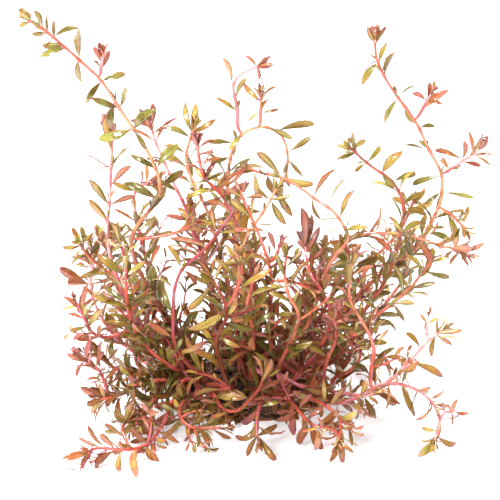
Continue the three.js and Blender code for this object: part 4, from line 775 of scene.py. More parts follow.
class LeafyShoot:
    """A shoot while it is made: its line and the places of its pairs, its skin, and its leaves so far."""

    def __init__(self, name, settings):
        self.name, self.slot = name, SLOTS[name]
        self.leaf, self.stem = settings.leaf, settings.stem
        self.solid = solid_of(name)
        self.rng = np.random.default_rng([ord(letter) for letter in name])
        self.skin = Skin()
        self.leaves = []
        foot, self.is_away = foot_of(name)
        path = np.concatenate([foot[None], self.solid.centres, self.solid.apex[None]])
        if self.is_away and unit(path[1] - path[0]) @ unit(path[2] - path[1]) < SHARPEST_TURN:
            path[1] = (path[0] + path[2]) / 2
        line, self.at, self.knots = smooth_line(path, self.stem.step)
        for _ in range(ROUNDING_PASSES):
            line[1:-1] = (line[:-2] + 2 * line[1:-1] + line[2:]) / 4
        self.line, self.length = line, self.at[-1]
        self.frames = line_frames(line)
        self.spots = np.interp(self.solid.leaf_ring + 1, np.arange(len(self.knots)), self.knots)
        self.own_nodes = np.unique(np.round(self.spots, 4))
        self.filling_nodes = self.places_between()
        self.nodes = np.sort(np.concatenate([self.own_nodes, self.filling_nodes]))
        self.swell = self.swelling()
        self.radius = self.thickness()
        self.tone, self.light = STEM_TONES.get(name, STEM_TONES[self.slot])
        # Painted shade: the stems in the middle and at the back are painted darker.
        if name in SHOOT_GROUPS["middle"] + SHOOT_GROUPS["back"]:
            self.light *= self.stem.painted_hidden_shade

    def height(self, places):
        """The height of the stem at places along it."""
        return np.interp(places, self.at, self.line[:, 2])

    def places_between(self):
        """Places of the pairs that fill the stretches between the solid's own leaves. They stand closer near
        the ground, and above the dense part more and more of them are left out.
        """
        leaf, name = self.leaf, self.name
        marks = [self.knots[1] + ROOM_AT_BASE, *self.own_nodes, self.length - ROOM_AT_TIP]
        places = []
        for start, end in zip(marks[:-1], marks[1:]):
            climb = min(self.height((start + end) / 2) / leaf.dense_height, 1.0)
            closer = (leaf.crowding + (1 - leaf.crowding) * climb) * CROWDED_SHOOTS.get(name, 1.0)
            count = int((end - start) / (leaf.spacing * closer))
            places.extend(start + (end - start) * (np.arange(count) + 1) / (count + 1))
        places = np.array(places).reshape(-1)
        chance = (leaf.bare_height - self.height(places)) / (leaf.bare_height - leaf.dense_height)
        chance = np.maximum(np.clip(chance, 0, 1), LEAFY_TIPS.get(name, 0.0))
        is_bare = places < BARE_FEET.get(name, 0.0) * self.length
        return places[(self.rng.random(len(places)) < chance) & ~is_bare]

    def swelling(self):
        """How far the stem swells along its line: a bell curve at each node."""
        if not len(self.nodes):
            return np.zeros(len(self.at))
        return np.exp(-(((self.at[:, None] - self.nodes[None]) / NODE_LENGTH) ** 2)).max(axis=1)

    def thickness(self):
        """The stem's radius along its line: a share of the solid's, with slight lumps, more at the nodes, and
        less at the start of a stem that begins away from the mat.
        """
        corners = np.interp(self.at, self.knots, [self.solid.radii[0], *self.solid.radii, TIP_RADIUS])
        lumps = 1 + LUMP_HEIGHT * np.sin(self.at / LUMP_LENGTH + self.rng.random() * LUMP_SHIFT)
        share, start = self.stem.thickness_share, 1.0
        if self.is_away:
            share = self.stem.side_share
            start = np.clip(THIN_START + (1 - THIN_START) * self.at / THIN_LENGTH, 0, 1)
        swollen = 1 + self.stem.swelling * self.swell
        return corners * share * THIN_STEMS.get(self.name, 1.0) * start * swollen * lumps

    def stem_at(self, places):
        """Centre, tangent, side, front and radius of the stem at places along it."""
        pick = np.clip(np.searchsorted(self.at, places), 0, len(self.at) - 1)
        return self.line[pick], *(values[pick] for values in self.frames), self.radius[pick]

    def way_out(self, place, turn):
        """The stem's middle and direction at a place, and the way out from it at a turn round it."""
        centre, along, side, front, _ = (values[0] for values in self.stem_at(np.array([place])))
        return centre, along, side * np.cos(turn) + front * np.sin(turn)

    def tones(self, places, young):
        """The tone of leaves: the shoot's own, and near its tip more and more that of the young leaves."""
        middle, spread, young_tone = LEAF_TONES.get(self.name, LEAF_TONES[self.slot])
        near_tip = np.clip(1 - (self.length - places) / YOUNG_LENGTH, 0, 1) * young
        drawn = self.rng.normal(size=len(places))
        own = middle + spread * TONE_SPREAD * drawn
        return np.clip(own + (young_tone + YOUNG_SPREAD * drawn - own) * np.minimum(near_tip, 1), 0.0, 1.0)

    def add_leaves(self, base, tip, right, width, tone, shade):
        """Adds leaves to the shoot's, with painted shade that makes them darker inside the clump."""
        shade = shade * painted_clump_shade(base * 0.5 + tip * 0.5, self.leaf)
        self.leaves.append((base, tip, right, width, tone, shade))

    def grow(self, kind, stem_at, turns, size, places, width=None, upright=0.0, redder=0.0):
        """Leaves of a kind that leave a stem at turns round it. Each heads out and up along the stem by its
        rise, and its upper side faces the stem's tip.
        """
        rng, n = self.rng, len(turns)
        lengths = size * rng.uniform(*kind.lengths, n)
        rises = rng.uniform(*kind.rises, n)[:, None] + upright
        tones = np.clip(self.tones(places, kind.young) + redder, 0, 1)
        rolls = rng.uniform(-kind.roll, kind.roll, n)[:, None]
        centre, along, side, front, radius = stem_at
        out = side * np.cos(turns)[:, None] + front * np.sin(turns)[:, None]
        heading = unit(out * np.cos(rises) + along * np.sin(rises) + UP * LIFT)
        base = centre + out * radius[:, None] * LEAF_ROOT
        tip = base + heading * lengths[:, None]
        tip[:, 2] = np.maximum(tip[:, 2], LOWEST_TIP)
        top = unit(along - heading * np.sum(along * heading, axis=1, keepdims=True))
        right = np.cross(top, heading) * np.cos(rolls) + top * np.sin(rolls)
        widths = lengths * (width or kind.width) * rng.uniform(*WIDTHS, n)
        self.add_leaves(base, np.clip(tip, *INSIDE), right, widths, tones, rng.uniform(*SHADES, n))

    def add_stem(self):
        """The stem: a tube that is redder at its foot and at its tip."""
        *skin, ring, around = tube(self.line, self.radius, STEM_SIDES)
        share = self.at[ring] / self.length
        redder = self.stem.fade * (FOOT_TONE - self.tone) * np.clip(1 - share / FOOT_SHARE, 0, 1)
        redder = redder + RED_TIPS.get(self.name, RED_TIP) * np.clip((share - RED_FROM) / RED_OVER, 0, 1)
        # Painted shade: the stem is painted darker inside the clump.
        self.skin.add(
            *skin, 0, tone=self.tone + redder, shade=self.light * painted_clump_shade(self.line, self.leaf)[ring],
            under=self.swell[ring], across=around, along=self.at[ring] / MM,
        )

    def add_own_leaves(self):
        """The leaves that the solid has."""
        across = self.solid.leaf_right - self.solid.leaf_left
        n = len(across)
        width = np.linalg.norm(across, axis=1) * self.rng.uniform(*OWN_WIDTHS, n)
        width = width * BROAD_LEAVES.get(self.name, 1.0)
        tones = self.tones(self.spots, 1.0)
        shades = self.rng.uniform(*OWN_SHADES, n)
        self.add_leaves(self.solid.leaf_base, self.solid.leaf_tip, across, width, tones, shades)

    def add_filling_pairs(self):
        """The filling pairs, a quarter turn from one to the next."""
        places, n = self.filling_nodes, len(self.filling_nodes)
        turns = self.rng.uniform(0, 2 * np.pi) + np.arange(n) * np.pi / 2
        turns = turns + self.rng.uniform(-FILLING_TURN, FILLING_TURN, n)
        for flip in (0.0, np.pi):
            self.grow(
                FILLING, self.stem_at(places), turns + flip, self.leaf.length, places, self.leaf.width_share
            )

    def add_corner_leaves(self):
        """Small leaves in the corners of some nodes."""
        places = self.own_nodes[self.rng.random(len(self.own_nodes)) < CORNER_SHARE]
        for flip in (0.0, np.pi):
            turns = self.rng.uniform(0, 2 * np.pi, len(places)) + flip
            self.grow(CORNER, self.stem_at(places), turns, MM, places)

    def add_young_leaves(self):
        """Three pairs of young leaves that close round the tip."""
        places = self.length - YOUNG_BACK
        turns = self.rng.uniform(0, 2 * np.pi) + np.arange(3) * np.pi / 2
        longer, width, upright = ROUND_HEADS.get(self.name, (1.0, YOUNG.width, 0.0))
        for flip in (0.0, np.pi):
            self.grow(
                YOUNG, self.stem_at(places), turns + flip, YOUNG_SIZES * longer, places, width, upright
            )

    def add_twigs(self):
        """Small side twigs low in the clump, bent along the stem, each with three pairs of little leaves."""
        is_low = self.height(self.filling_nodes) < self.leaf.dense_height * TWIG_HEIGHT
        has_twig = self.rng.random(len(self.filling_nodes)) < self.stem.twigs
        for place in self.filling_nodes[is_low & has_twig]:
            turn, size = self.rng.uniform(0, 2 * np.pi), self.rng.uniform(*TWIG_SIZES) * MM
            centre, along, out = self.way_out(place, turn)
            line = centre + (out + UP * TWIG_RISE) * size * SMALL_LINE
            line = np.clip(line + along * TWIG_LEAN * size * SMALL_LINE**2, *INSIDE)
            *skin, ring, around = tube(line, np.linspace(*TWIG_RADII, len(line)) * MM, TWIG_SIDES)
            # Painted shade: the twig is painted darker inside the clump.
            shade = self.light * painted_clump_shade(line, self.leaf)[ring]
            tone, along_it = self.tone + TWIG_TONE, ring * SMALL_RING
            self.skin.add(*skin, 0, tone=tone, shade=shade, across=around, along=along_it)
            frames = (values[TWIG_PAIRS] for values in line_frames(line))
            twig_at = line[TWIG_PAIRS], *frames, np.full(3, TWIG_RADIUS_AT_LEAVES)
            places = np.full(3, place)
            for flip in (0.0, np.pi):
                turns = turn + flip + np.arange(3) * np.pi / 2
                self.grow(TWIG_LEAF, twig_at, turns, MM, places, redder=TWIG_LEAF_TONE)

    def add_blades(self):
        """The blades of all leaves so far, each bent in its own way."""
        base, tip, right, width, tone, shade = (np.concatenate(values) for values in zip(*self.leaves))
        rng, leaf, n = self.rng, self.leaf, len(base)
        hook = leaf.hook * np.maximum(rng.uniform(-1.5, 1.0, n), 0)
        *skin, fields = blades(
            base, tip, right, width, leaf.thickness, arch=leaf.arch * rng.uniform(0.2, 1.9, n), hook=hook,
            sickle=rng.uniform(-0.08, 0.08, n), twist=rng.uniform(-1.0, 1.0, n),
            fold=leaf.fold * rng.uniform(0.3, 1.6, n), wave=rng.random(n), widen=rng.uniform(0.8, 1.25, n),
            narrow=rng.uniform(0.45, 0.85, n),
        )
        own = {"tone": tone, "shade": shade, "blush": rng.random(n) ** 1.5}
        own = {name: np.repeat(values, BLADE_POINTS) for name, values in own.items()}
        self.skin.add(*skin, 1, **fields, **own)

    def add_root_threads(self):
        """Fine dark threads of root that hang from some nodes."""
        for place in self.nodes[self.rng.random(len(self.nodes)) < self.stem.threads]:
            turn, size = self.rng.uniform(0, 2 * np.pi), self.rng.uniform(*THREAD_SIZES) * MM
            centre, _, out = self.way_out(place, turn)
            droop = UP * self.rng.uniform(0, THREAD_DROOP)
            line = np.clip(centre + out * size * SMALL_LINE - droop * size * SMALL_LINE**2, *INSIDE)
            *skin, ring, around = tube(line, np.linspace(*THREAD_RADII, len(line)) * MM, THREAD_SIDES)
            shade = self.rng.uniform(0.0, THREAD_SHADE)
            self.skin.add(*skin, 0, tone=THREAD_TONE, shade=shade, across=around, along=ring * SMALL_RING)


def make_shoot(name, settings, materials):
    """A shoot's piece: a tube for the stem, blades for its leaves, and its twigs and threads of root."""
    shoot = LeafyShoot(name, settings)
    shoot.add_stem()
    shoot.add_own_leaves()
    shoot.add_filling_pairs()
    shoot.add_corner_leaves()
    shoot.add_young_leaves()
    shoot.add_twigs()
    shoot.add_blades()
    shoot.add_root_threads()
    piece = shoot.skin.make("leafy_" + name, materials, GROUND_GAP)
    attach(piece, "root")
    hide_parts(name)
    return piece


# Root tangle

# The tangle's seed, the points round its core and the core's rings, the core's height as a share of the
# mat's, and the least height of a dark leaf's tip.
TANGLE_SEED = 41
CORE_TURNS, CORE_CLIMBS = 64, 18
CORE_TOP = 0.9
DARK_LEAF_LOWEST = 1.0 * MM

# The climb from the ground of the core's lowest ring, what its highest lacks to the top, and the waves of
# its surface: their height as a share, and how many go round it and up it.
CORE_LOWEST, CORE_GAP = 0.02, 0.04
CORE_WAVES = ((0.05, 5, 3), (0.04, 11, -7), (0.025, 17, 12))

# Lines that wind over the dome: points along one, how far it goes round, how it rises and falls over the
# dome, its radius at random and at both ends, the sides of its tube, and its tones.
Winding = namedtuple("Winding", "points sweep reach radii taper sides tones")
FIBRE = Winding(16, 0.75, 0.035, (0.55, 1.35), (1.15, 0.5), 5, (0.15, 1.0))
OLD_STEM = Winding(18, 0.6, 0.03, (0.7, 1.15), (1.0, 0.8), 8, (0.0, 1.0))

# The same for both kinds: the range of the first climb and its power, how far the climb changes on the way
# and its limits, the size of the waves of the turn and of the climb, the distance from the middle as a share
# of the mat's size and what is added to it at random, and how long the waves of all three are.
FIRST_CLIMB, CLIMB_POWER, CLIMB_CHANGE, CLIMB_LIMITS = (0.02, 1.25), 1.2, 0.55, (0.015, 1.5)
TURN_WAVE, CLIMB_WAVE = 0.18, 0.16
WINDING_OUT, OUT_SPREAD = 0.94, 0.03
TURN_WAVES, CLIMB_WAVES, OUT_WAVES = (4, 12), (5, 13), (3, 11)


def dome_way(turn, climb):
    """Directions from the middle of the dome, by a turn round it and a climb from the ground."""
    level = np.cos(climb)
    return np.stack(np.broadcast_arrays(level * np.cos(turn), level * np.sin(turn), np.sin(climb)), -1)


def add_core(skin):
    """The core: a half ellipsoid, its distance from the middle waved by three sines."""
    middle, half = root_dome()
    climb = np.linspace(CORE_LOWEST, np.pi / 2 - CORE_GAP, CORE_CLIMBS)[:, None]
    angle = (np.arange(CORE_TURNS) * 2 * np.pi / CORE_TURNS)[None]
    waves = sum(size * np.sin(turns * angle + climbs * climb) for size, turns, climbs in CORE_WAVES)
    core = dome_way(angle, climb) * (CORE_TOP + waves * np.cos(climb))[..., None] * half + middle
    core[0, :, 2] = 0.0
    poles = [middle, middle + half * [0, 0, CORE_TOP]]
    skin.add(np.concatenate([core.reshape(-1, 3), poles]), *ring_faces(CORE_CLIMBS, CORE_TURNS), 0)


def add_windings(skin, rng, kind, count, size, slot):
    """Winding tubes over the dome: each goes round by a random sweep while its climb and its height over the
    dome change by two slow waves.
    """
    middle, half = root_dome()
    share = np.linspace(0, 1, kind.points)[None]
    start = rng.uniform(0, 2 * np.pi, (count, 1))
    sweep = rng.normal(0, kind.sweep, (count, 1))
    first = rng.uniform(*FIRST_CLIMB, (count, 1)) ** CLIMB_POWER
    change = rng.normal(0, CLIMB_CHANGE, (count, 1))
    wave = np.sin(share * rng.uniform(*TURN_WAVES, (count, 1)) + start * 3)
    turn = start + sweep * share + TURN_WAVE * wave
    wave = np.sin(share * rng.uniform(*CLIMB_WAVES, (count, 1)) + start)
    climb = np.clip(first + change * share + CLIMB_WAVE * wave, *CLIMB_LIMITS)
    out = WINDING_OUT + OUT_SPREAD * rng.random((count, 1))
    out = out + kind.reach * np.sin(share * rng.uniform(*OUT_WAVES, (count, 1)) + start * 5)
    lines = dome_way(turn, climb) * out[..., None] * half + middle
    for line in lines:
        radius = size * rng.uniform(*kind.radii) * np.linspace(*kind.taper, kind.points)
        line[:, 2] = np.maximum(line[:, 2], radius)
        *part, ring, around = tube(line, radius, kind.sides)
        skin.add(*part, slot, tone=rng.uniform(*kind.tones), across=around, along=ring / kind.points)


def add_dark_leaves(skin, rng, settings):
    """Small dark leaves all over the tangle, which point at random and a little outwards."""
    middle, half = root_dome()
    n = settings.root.leaves
    turn = rng.uniform(0, 2 * np.pi, n)
    way = dome_way(turn, rng.uniform(0.0, 1.4, n) ** 1.1)
    base = middle + way * half * rng.uniform(0.88, 0.98, (n, 1))
    heading = unit(unit(rng.normal(size=(n, 3))) + unit(way / half) * 0.55)
    length = settings.root.leaf_length * rng.uniform(0.65, 1.25, n)
    tip = base + heading * length[:, None]
    tip[:, 2] = np.maximum(tip[:, 2], DARK_LEAF_LOWEST)
    right = np.cross(heading, unit(rng.normal(size=(n, 3))))
    *part, fields = blades(
        base, tip, right, length * rng.uniform(0.22, 0.34, n), settings.leaf.thickness,
        arch=rng.uniform(-0.1, 0.15, n), hook=rng.uniform(0.0, 0.2, n), sickle=rng.uniform(-0.1, 0.1, n),
        twist=rng.uniform(-1, 1, n), fold=rng.uniform(0.0, 0.5, n), wave=rng.random(n),
        widen=rng.uniform(0.8, 1.2, n), narrow=rng.uniform(0.5, 0.8, n),
    )
    tone = np.repeat(rng.uniform(0.0, 0.7, n), BLADE_POINTS)
    shade = np.repeat(rng.uniform(0.22, 0.62, n), BLADE_POINTS)
    skin.add(*part, 2, **fields, tone=tone, shade=shade)


def make_root_tangle(settings, materials):
    """The tangle: a lumpy dark core, root fibres and bare old stems that wind over it, and dark leaves."""
    rng = np.random.default_rng(TANGLE_SEED)
    skin = Skin()
    root = settings.root
    add_core(skin)
    add_windings(skin, rng, FIBRE, root.fibres, root.fibre_radius, 0)
    add_windings(skin, rng, OLD_STEM, root.old_stems, root.stem_radius, 1)
    add_dark_leaves(skin, rng, settings)
    piece = skin.make("tangled_roots", materials, 0.0)
    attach(piece, "root")
    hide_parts("root_mat")
    return piece


# Materials


class Value:
    """A socket that carries one number. Arithmetic on it adds Math nodes."""

    def __init__(self, surface, socket):
        self.surface, self.socket = surface, socket

    def math(self, operation, *values):
        """A Math node on these values."""
        made = self.surface.node("ShaderNodeMath", {"operation": operation}, dict(enumerate(values)))
        return Value(self.surface, made.outputs[0])

    def __add__(self, other):
        return self.math("ADD", self, other)

    def __radd__(self, other):
        return self.math("ADD", other, self)

    def __sub__(self, other):
        return self.math("SUBTRACT", self, other)

    def __rsub__(self, other):
        return self.math("SUBTRACT", other, self)

    def __mul__(self, other):
        return self.math("MULTIPLY", self, other)

    def __rmul__(self, other):
        return self.math("MULTIPLY", other, self)

    def __abs__(self):
        return self.math("ABSOLUTE", self)

    def sine(self):
        """Its sine."""
        return self.math("SINE", self)

    def ramp(self, low, high):
        """0 below low, 1 above high, and a smooth rise between them."""
        made = self.surface.node(
            "ShaderNodeMapRange", {"interpolation_type": "SMOOTHSTEP", "clamp": True},
            {"Value": self, "From Min": low, "From Max": high},
        )
        return Value(self.surface, made.outputs[0])


class Surface:
    """A material's node tree."""

    def __init__(self, name):
        self.material = bpy.data.materials.new(name)
        self.material.use_nodes = True
        self.tree = self.material.node_tree
        self.shader = self.tree.nodes["Principled BSDF"]

    def node(self, kind, settings=None, values=None):
        """A node of a kind, with its settings first and then the values or links of its sockets."""
        made = self.tree.nodes.new(kind)
        for name, setting in (settings or {}).items():
            if name == "stops":
                ramp = made.color_ramp
                while len(ramp.elements) < len(setting):
                    ramp.elements.new(1.0)
                for element, (place, colour) in zip(ramp.elements, setting):
                    element.position = place
                    element.color = (*colour, 1.0)
            else:
                setattr(made, name, setting)
        for key, value in (values or {}).items():
            self.put(made.inputs[key], value)
        return made

    def put(self, socket, value):
        """Links a socket to a value, or sets it."""
        if isinstance(value, Value):
            value = value.socket
        if isinstance(value, bpy.types.NodeSocket):
            self.tree.links.new(value, socket)
        elif isinstance(value, (int, float)):
            socket.default_value = value
        else:
            socket.default_value = (*value, 1.0) if len(value) == 3 and socket.type == "RGBA" else value

    def attribute(self, name):
        """A field of the mesh."""
        made = self.node("ShaderNodeAttribute", {"attribute_name": name})
        return Value(self, made.outputs["Fac"])

    def noise(self, scale, detail=2.0):
        """Cloudy noise on the object's own coordinates, from 0 to 1."""
        place = self.node("ShaderNodeTexCoord").outputs["Object"]
        look = {"Vector": place, "Scale": scale, "Detail": detail}
        return Value(self, self.node("ShaderNodeTexNoise", {}, look).outputs[0])

    def palette(self, value, stops):
        """A colour that runs through stops, each a place and a colour."""
        return self.node("ShaderNodeValToRGB", {"stops": list(stops)}, {0: value}).outputs[0]

    def mix(self, factor, one, two, blend="MIX"):
        """One colour turning into another."""
        made = self.node(
            "ShaderNodeMix", {"data_type": "RGBA", "blend_type": blend, "clamp_factor": True},
            {0: factor, 6: one, 7: two},
        )
        return made.outputs[2]

    def scaled(self, colour, factor):
        """A colour made lighter or darker."""
        made = self.node("ShaderNodeVectorMath", {"operation": "SCALE"}, {0: colour, "Scale": factor})
        return made.outputs[0]

    def bump(self, height, distance):
        """A bump of this depth in metres that feeds the shader's normal."""
        made = self.node("ShaderNodeBump", {}, {"Height": height, "Distance": distance})
        self.put(self.shader.inputs["Normal"], made.outputs[0])

    def finish(self, **values):
        """Sets the shader's sockets."""
        for name, value in values.items():
            self.put(self.shader.inputs[name.replace("_", " ").title().replace("Ior", "IOR")], value)
        return self.material


MATERIALS = {}

# The places of the colours of stems and leaves on the scale of tones, and how deep the bumps are.
STEM_STOPS = (0.0, 0.25, 0.5, 0.68, 0.84, 1.0)
LEAF_STOPS = (0.0, 0.09, 0.19, 0.34, 0.5, 0.64, 0.8, 1.0)
STEM_BUMP, LEAF_BUMP, ROOT_BUMP = 0.1 * MM, 0.2 * MM, 0.3 * MM

# Streaks and rings as angles: streaks round a stem, how they shift along it, pairs of side veins along a
# blade and how far they slant, and rings along a root.
STREAKS_ROUND, STREAK_SHIFT = 18.85, 0.35
VEINS_ALONG, VEIN_SLANT, FULL_TURN = 11.0, 2.2, 6.2832
RINGS_ALONG = 90.0
SKIN_DEPTH = 1.2 * MM


def stem_surface(settings):
    """Wet stem: a colour by the shoot's tone, redder at the nodes, with fine pale streaks along it that are
    partly painted highlight lines, and painted darker inside the clump by the painted shade.
    """
    if "stem" not in MATERIALS:
        s = Surface("wet_stem")
        look = settings.stem
        tone, node, shade = (s.attribute(name) for name in ("tone", "under", "shade"))
        around, along = s.attribute("across"), s.attribute("along")
        cloud = s.noise(75, 3.0)
        blotch = s.noise(420, 2.0)
        speck = s.noise(1100, 2.0)
        colours = look.pale, look.salmon, look.coral, look.wine, look.magenta, look.rose
        colour = s.palette(tone + (cloud - 0.5) * 0.8, zip(STEM_STOPS, colours))
        # Pale streaks along the stem, partly painted highlight lines.
        streak_and_highlight = (around * STREAKS_ROUND + (along * STREAK_SHIFT).sine() * 1.4 + blotch * 3.0).sine()
        colour = s.mix(streak_and_highlight.ramp(0.3, 0.95) * 0.24, colour, look.streak_and_highlight)
        colour = s.mix(blotch.ramp(0.52, 0.66) * 0.5, colour, look.speck)
        colour = s.mix(node * 0.55, colour, look.node_tint)
        # Painted shade: the colour is scaled by the stem's lightness, which holds the painted shade of the
        # clump.
        colour = s.scaled(colour, (0.22 + shade * 0.78) * (0.88 + cloud * 0.22 + speck * 0.2))
        s.bump(streak_and_highlight * 0.3 + blotch * 0.6 + speck, STEM_BUMP)
        # The coat's gloss is kept to the stems that the painted shade leaves light.
        MATERIALS["stem"] = s.finish(
            base_color=colour, roughness=0.3 + speck * 0.25, specular_ior_level=0.15,
            coat_weight=cloud.ramp(0.42, 0.56) * shade.ramp(0.35, 1.0), coat_ior=1.75, coat_roughness=0.12,
        )
    return MATERIALS["stem"]


def leaf_surface(settings):
    """Thin leaf: a colour by the leaf's tone, clouded and specked, with a paler midrib, side veins, a redder
    edge and a duller underside, painted darker and browner inside the clump by the painted shade.
    """
    if "leaf" not in MATERIALS:
        s = Surface("leaf_blade")
        look = settings.leaf
        tone, shade, under = (s.attribute(name) for name in ("tone", "shade", "under"))
        across, along, blush = (s.attribute(name) for name in ("across", "along", "blush"))
        out = abs(across)
        cloud = s.noise(170, 3.0)
        speck = s.noise(1500, 2.0)
        tone = tone + (cloud - 0.5) * 0.5 + (speck - 0.5) * 0.12 + (along - 0.45) * 0.22 + (out - 0.5) * 0.08
        greens = look.deep_green, look.green, look.olive, look.yellow_olive
        reds = look.orange_brown, look.red_brown, look.pink, look.purple
        colour = s.palette(tone, zip(LEAF_STOPS, greens + reds))
        vein = ((along * VEINS_ALONG - out * VEIN_SLANT) * FULL_TURN).sine()
        rib = 1.0 - out.ramp(0.03, 0.16)
        edge = out.ramp(0.6, 1.0)
        colour = s.mix(rib * 0.7 * (1.0 - along * 0.5), colour, look.rib)
        colour = s.mix(edge * 0.78, colour, look.margin)
        colour = s.mix((1.0 - along.ramp(0.0, 0.22)) * 0.5, colour, look.rib)
        colour = s.mix(under * 0.32, colour, look.underside)
        colour = s.mix((along + out * 0.12).ramp(0.62, 1.05) * blush * 0.7, colour, look.purple)
        # Painted shade: where the painted shade of the clump is deep, the blade is tinted brown and scaled
        # darker; the brown is partly also that of old leaves low in the clump.
        colour = s.mix((0.85 - shade) * 0.8, colour, look.brown, "MULTIPLY")
        colour = s.scaled(colour, shade * (0.84 + speck * 0.3 + vein * 0.07))
        s.bump(vein * 0.35 + rib * 0.8 + speck * 0.6 + cloud * 0.5, LEAF_BUMP)
        # The coat's gloss is kept to the leaves that the painted shade leaves light.
        MATERIALS["leaf"] = s.finish(
            base_color=colour, roughness=0.3 + speck * 0.25, specular_ior_level=0.12,
            subsurface_weight=0.3, subsurface_scale=SKIN_DEPTH, subsurface_radius=(1.0, 0.6, 0.2),
            coat_weight=cloud.ramp(0.34, 0.52) * shade.ramp(0.3, 0.9), coat_ior=1.8, coat_roughness=0.1,
        )
    return MATERIALS["leaf"]


def root_surface(settings, old):
    """Roots or bare old stems: brown, darker in patches, rough and grained."""
    name = "old_stem" if old else "root_fibre"
    if name not in MATERIALS:
        s = Surface(name)
        look = settings.root
        tone, along = s.attribute("tone"), s.attribute("along")
        cloud = s.noise(240, 3.0)
        speck = s.noise(2200, 3.0)
        stops = [(0.0, look.dark), (0.8, look.old if old else look.brown)]
        colour = s.palette(tone * 0.9 + (cloud - 0.5) * 0.7, stops)
        ring = (along * RINGS_ALONG).sine()
        colour = s.scaled(colour, 0.7 + speck * 0.6 + ring * 0.06)
        s.bump(speck + cloud + ring * 0.2, ROOT_BUMP)
        MATERIALS[name] = s.finish(base_color=colour, roughness=0.55 + speck * 0.3)
    return MATERIALS[name]


def floor_surface(settings):
    """Plain pale floor with the faintest clouding."""
    s = Surface("pale_floor")
    cloud = s.noise(6, 2.0)
    colour = s.mix(cloud * 0.3, settings.stage.floor, (0.9, 0.9, 0.9))
    return s.finish(
        base_color=colour, roughness=0.85 + cloud * 0.1, emission_color=colour,
        emission_strength=settings.stage.glow,
    )


# Stage

# The floor in metres: half its width, where it begins, how far it is flat, the radius of its bend and the
# height of its wall. The shares of its rows that are flat and bent, and its rows and columns.
FLOOR_HALF_WIDTH, FLOOR_FRONT, FLOOR_DEPTH = 4.0, -3.0, 6.0
BEND_RADIUS, WALL_HEIGHT = 1.2, 3.0
FLAT_SHARE, BEND_SHARE = 0.6, 0.2
FLOOR_ROWS, FLOOR_COLUMNS = 33, 9

# The lights: where they are and what they look at, the width of the sun's disc and of the front light.
LIT_PLACE = (0.0, 0.0, 0.06)
SUN_PLACE, SUN_WIDTH = (-0.12, 0.02, 0.75), math.radians(14)
FRONT_PLACE, FRONT_WIDTH = (-0.3, -0.6, 0.45), 0.25
SKY_COLOUR = (1.0, 0.99, 1.0, 1.0)
SENSOR_WIDTH = 36.0
NEAREST, FARTHEST = 0.01, 50.0


def floor_grid():
    """Points and faces of the floor. From front to back its rows are flat, then bend up in a quarter circle,
    and then rise upright.
    """
    run = np.linspace(0, 1, FLOOR_ROWS)
    flat = np.clip(run / FLAT_SHARE, 0, 1)
    bend = np.clip((run - FLAT_SHARE) / BEND_SHARE, 0, 1) * np.pi / 2
    wall = np.clip((run - FLAT_SHARE - BEND_SHARE) / (1 - FLAT_SHARE - BEND_SHARE), 0, 1)
    x = np.linspace(-FLOOR_HALF_WIDTH, FLOOR_HALF_WIDTH, FLOOR_COLUMNS)
    y = FLOOR_FRONT + FLOOR_DEPTH * flat + BEND_RADIUS * np.sin(bend)
    z = BEND_RADIUS * (1 - np.cos(bend)) + WALL_HEIGHT * wall
    points = np.stack(np.broadcast_arrays(x[None], y[:, None], z[:, None]), -1)
    i, j = np.meshgrid(np.arange(FLOOR_ROWS - 1), np.arange(FLOOR_COLUMNS - 1), indexing="ij")
    first = i * FLOOR_COLUMNS + j
    faces = np.stack([first, first + 1, first + FLOOR_COLUMNS + 1, first + FLOOR_COLUMNS], -1)
    return points.reshape(-1, 3), faces.reshape(-1, 4)


def add_lamp(name, kind, power, spot, **look):
    """A light that looks at the middle of the clump."""
    data = bpy.data.lights.new(name, kind)
    data.energy = power
    for key, value in look.items():
        setattr(data, key, value)
    made = bpy.data.objects.new(name, data)
    made.location = spot
    made.rotation_euler = Vector(np.array(LIT_PLACE) - spot).to_track_quat("-Z", "Y").to_euler()
    bpy.context.scene.collection.objects.link(made)


def add_camera():
    """The photograph's camera, which looks down at the middle of the clump."""
    camera = bpy.data.cameras.new("camera")
    camera.sensor_width = SENSOR_WIDTH
    camera.lens = SENSOR_WIDTH * VIEW_DISTANCE / VIEW_WIDTH
    camera.clip_start, camera.clip_end = NEAREST, FARTHEST
    eye = bpy.data.objects.new("camera", camera)
    forward = np.array([0.0, math.cos(VIEW_DOWN), -math.sin(VIEW_DOWN)])
    eye.location = np.array([0.0, 0.0, VIEW_HEIGHT / math.cos(VIEW_DOWN)]) - forward * VIEW_DISTANCE
    eye.rotation_euler = (math.pi / 2 - VIEW_DOWN, 0.0, 0.0)
    bpy.context.scene.collection.objects.link(eye)
    bpy.context.scene.camera = eye


def make_stage(settings):
    """A pale floor that curves up behind, a soft sky, a soft sun, a front light, and the camera."""
    scene = bpy.context.scene
    stage = settings.stage
    points, faces = floor_grid()
    mesh = bpy.data.meshes.new("floor")
    mesh.from_pydata(points.tolist(), [], faces.tolist())
    mesh.polygons.foreach_set("use_smooth", np.ones(len(faces), bool))
    mesh.materials.append(floor_surface(settings))
    floor = bpy.data.objects.new("floor", mesh)
    scene.collection.objects.link(floor)

    world = bpy.data.worlds.new("soft_sky")
    world.use_nodes = True
    sky = world.node_tree.nodes["Background"]
    sky.inputs["Color"].default_value = SKY_COLOUR
    sky.inputs["Strength"].default_value = stage.sky
    scene.world = world

    add_lamp("sun", "SUN", stage.sun, SUN_PLACE, angle=SUN_WIDTH)
    add_lamp("front_light", "AREA", stage.front, FRONT_PLACE, size=FRONT_WIDTH)
    add_camera()
    scene.view_settings.view_transform = "Standard"


# Operators


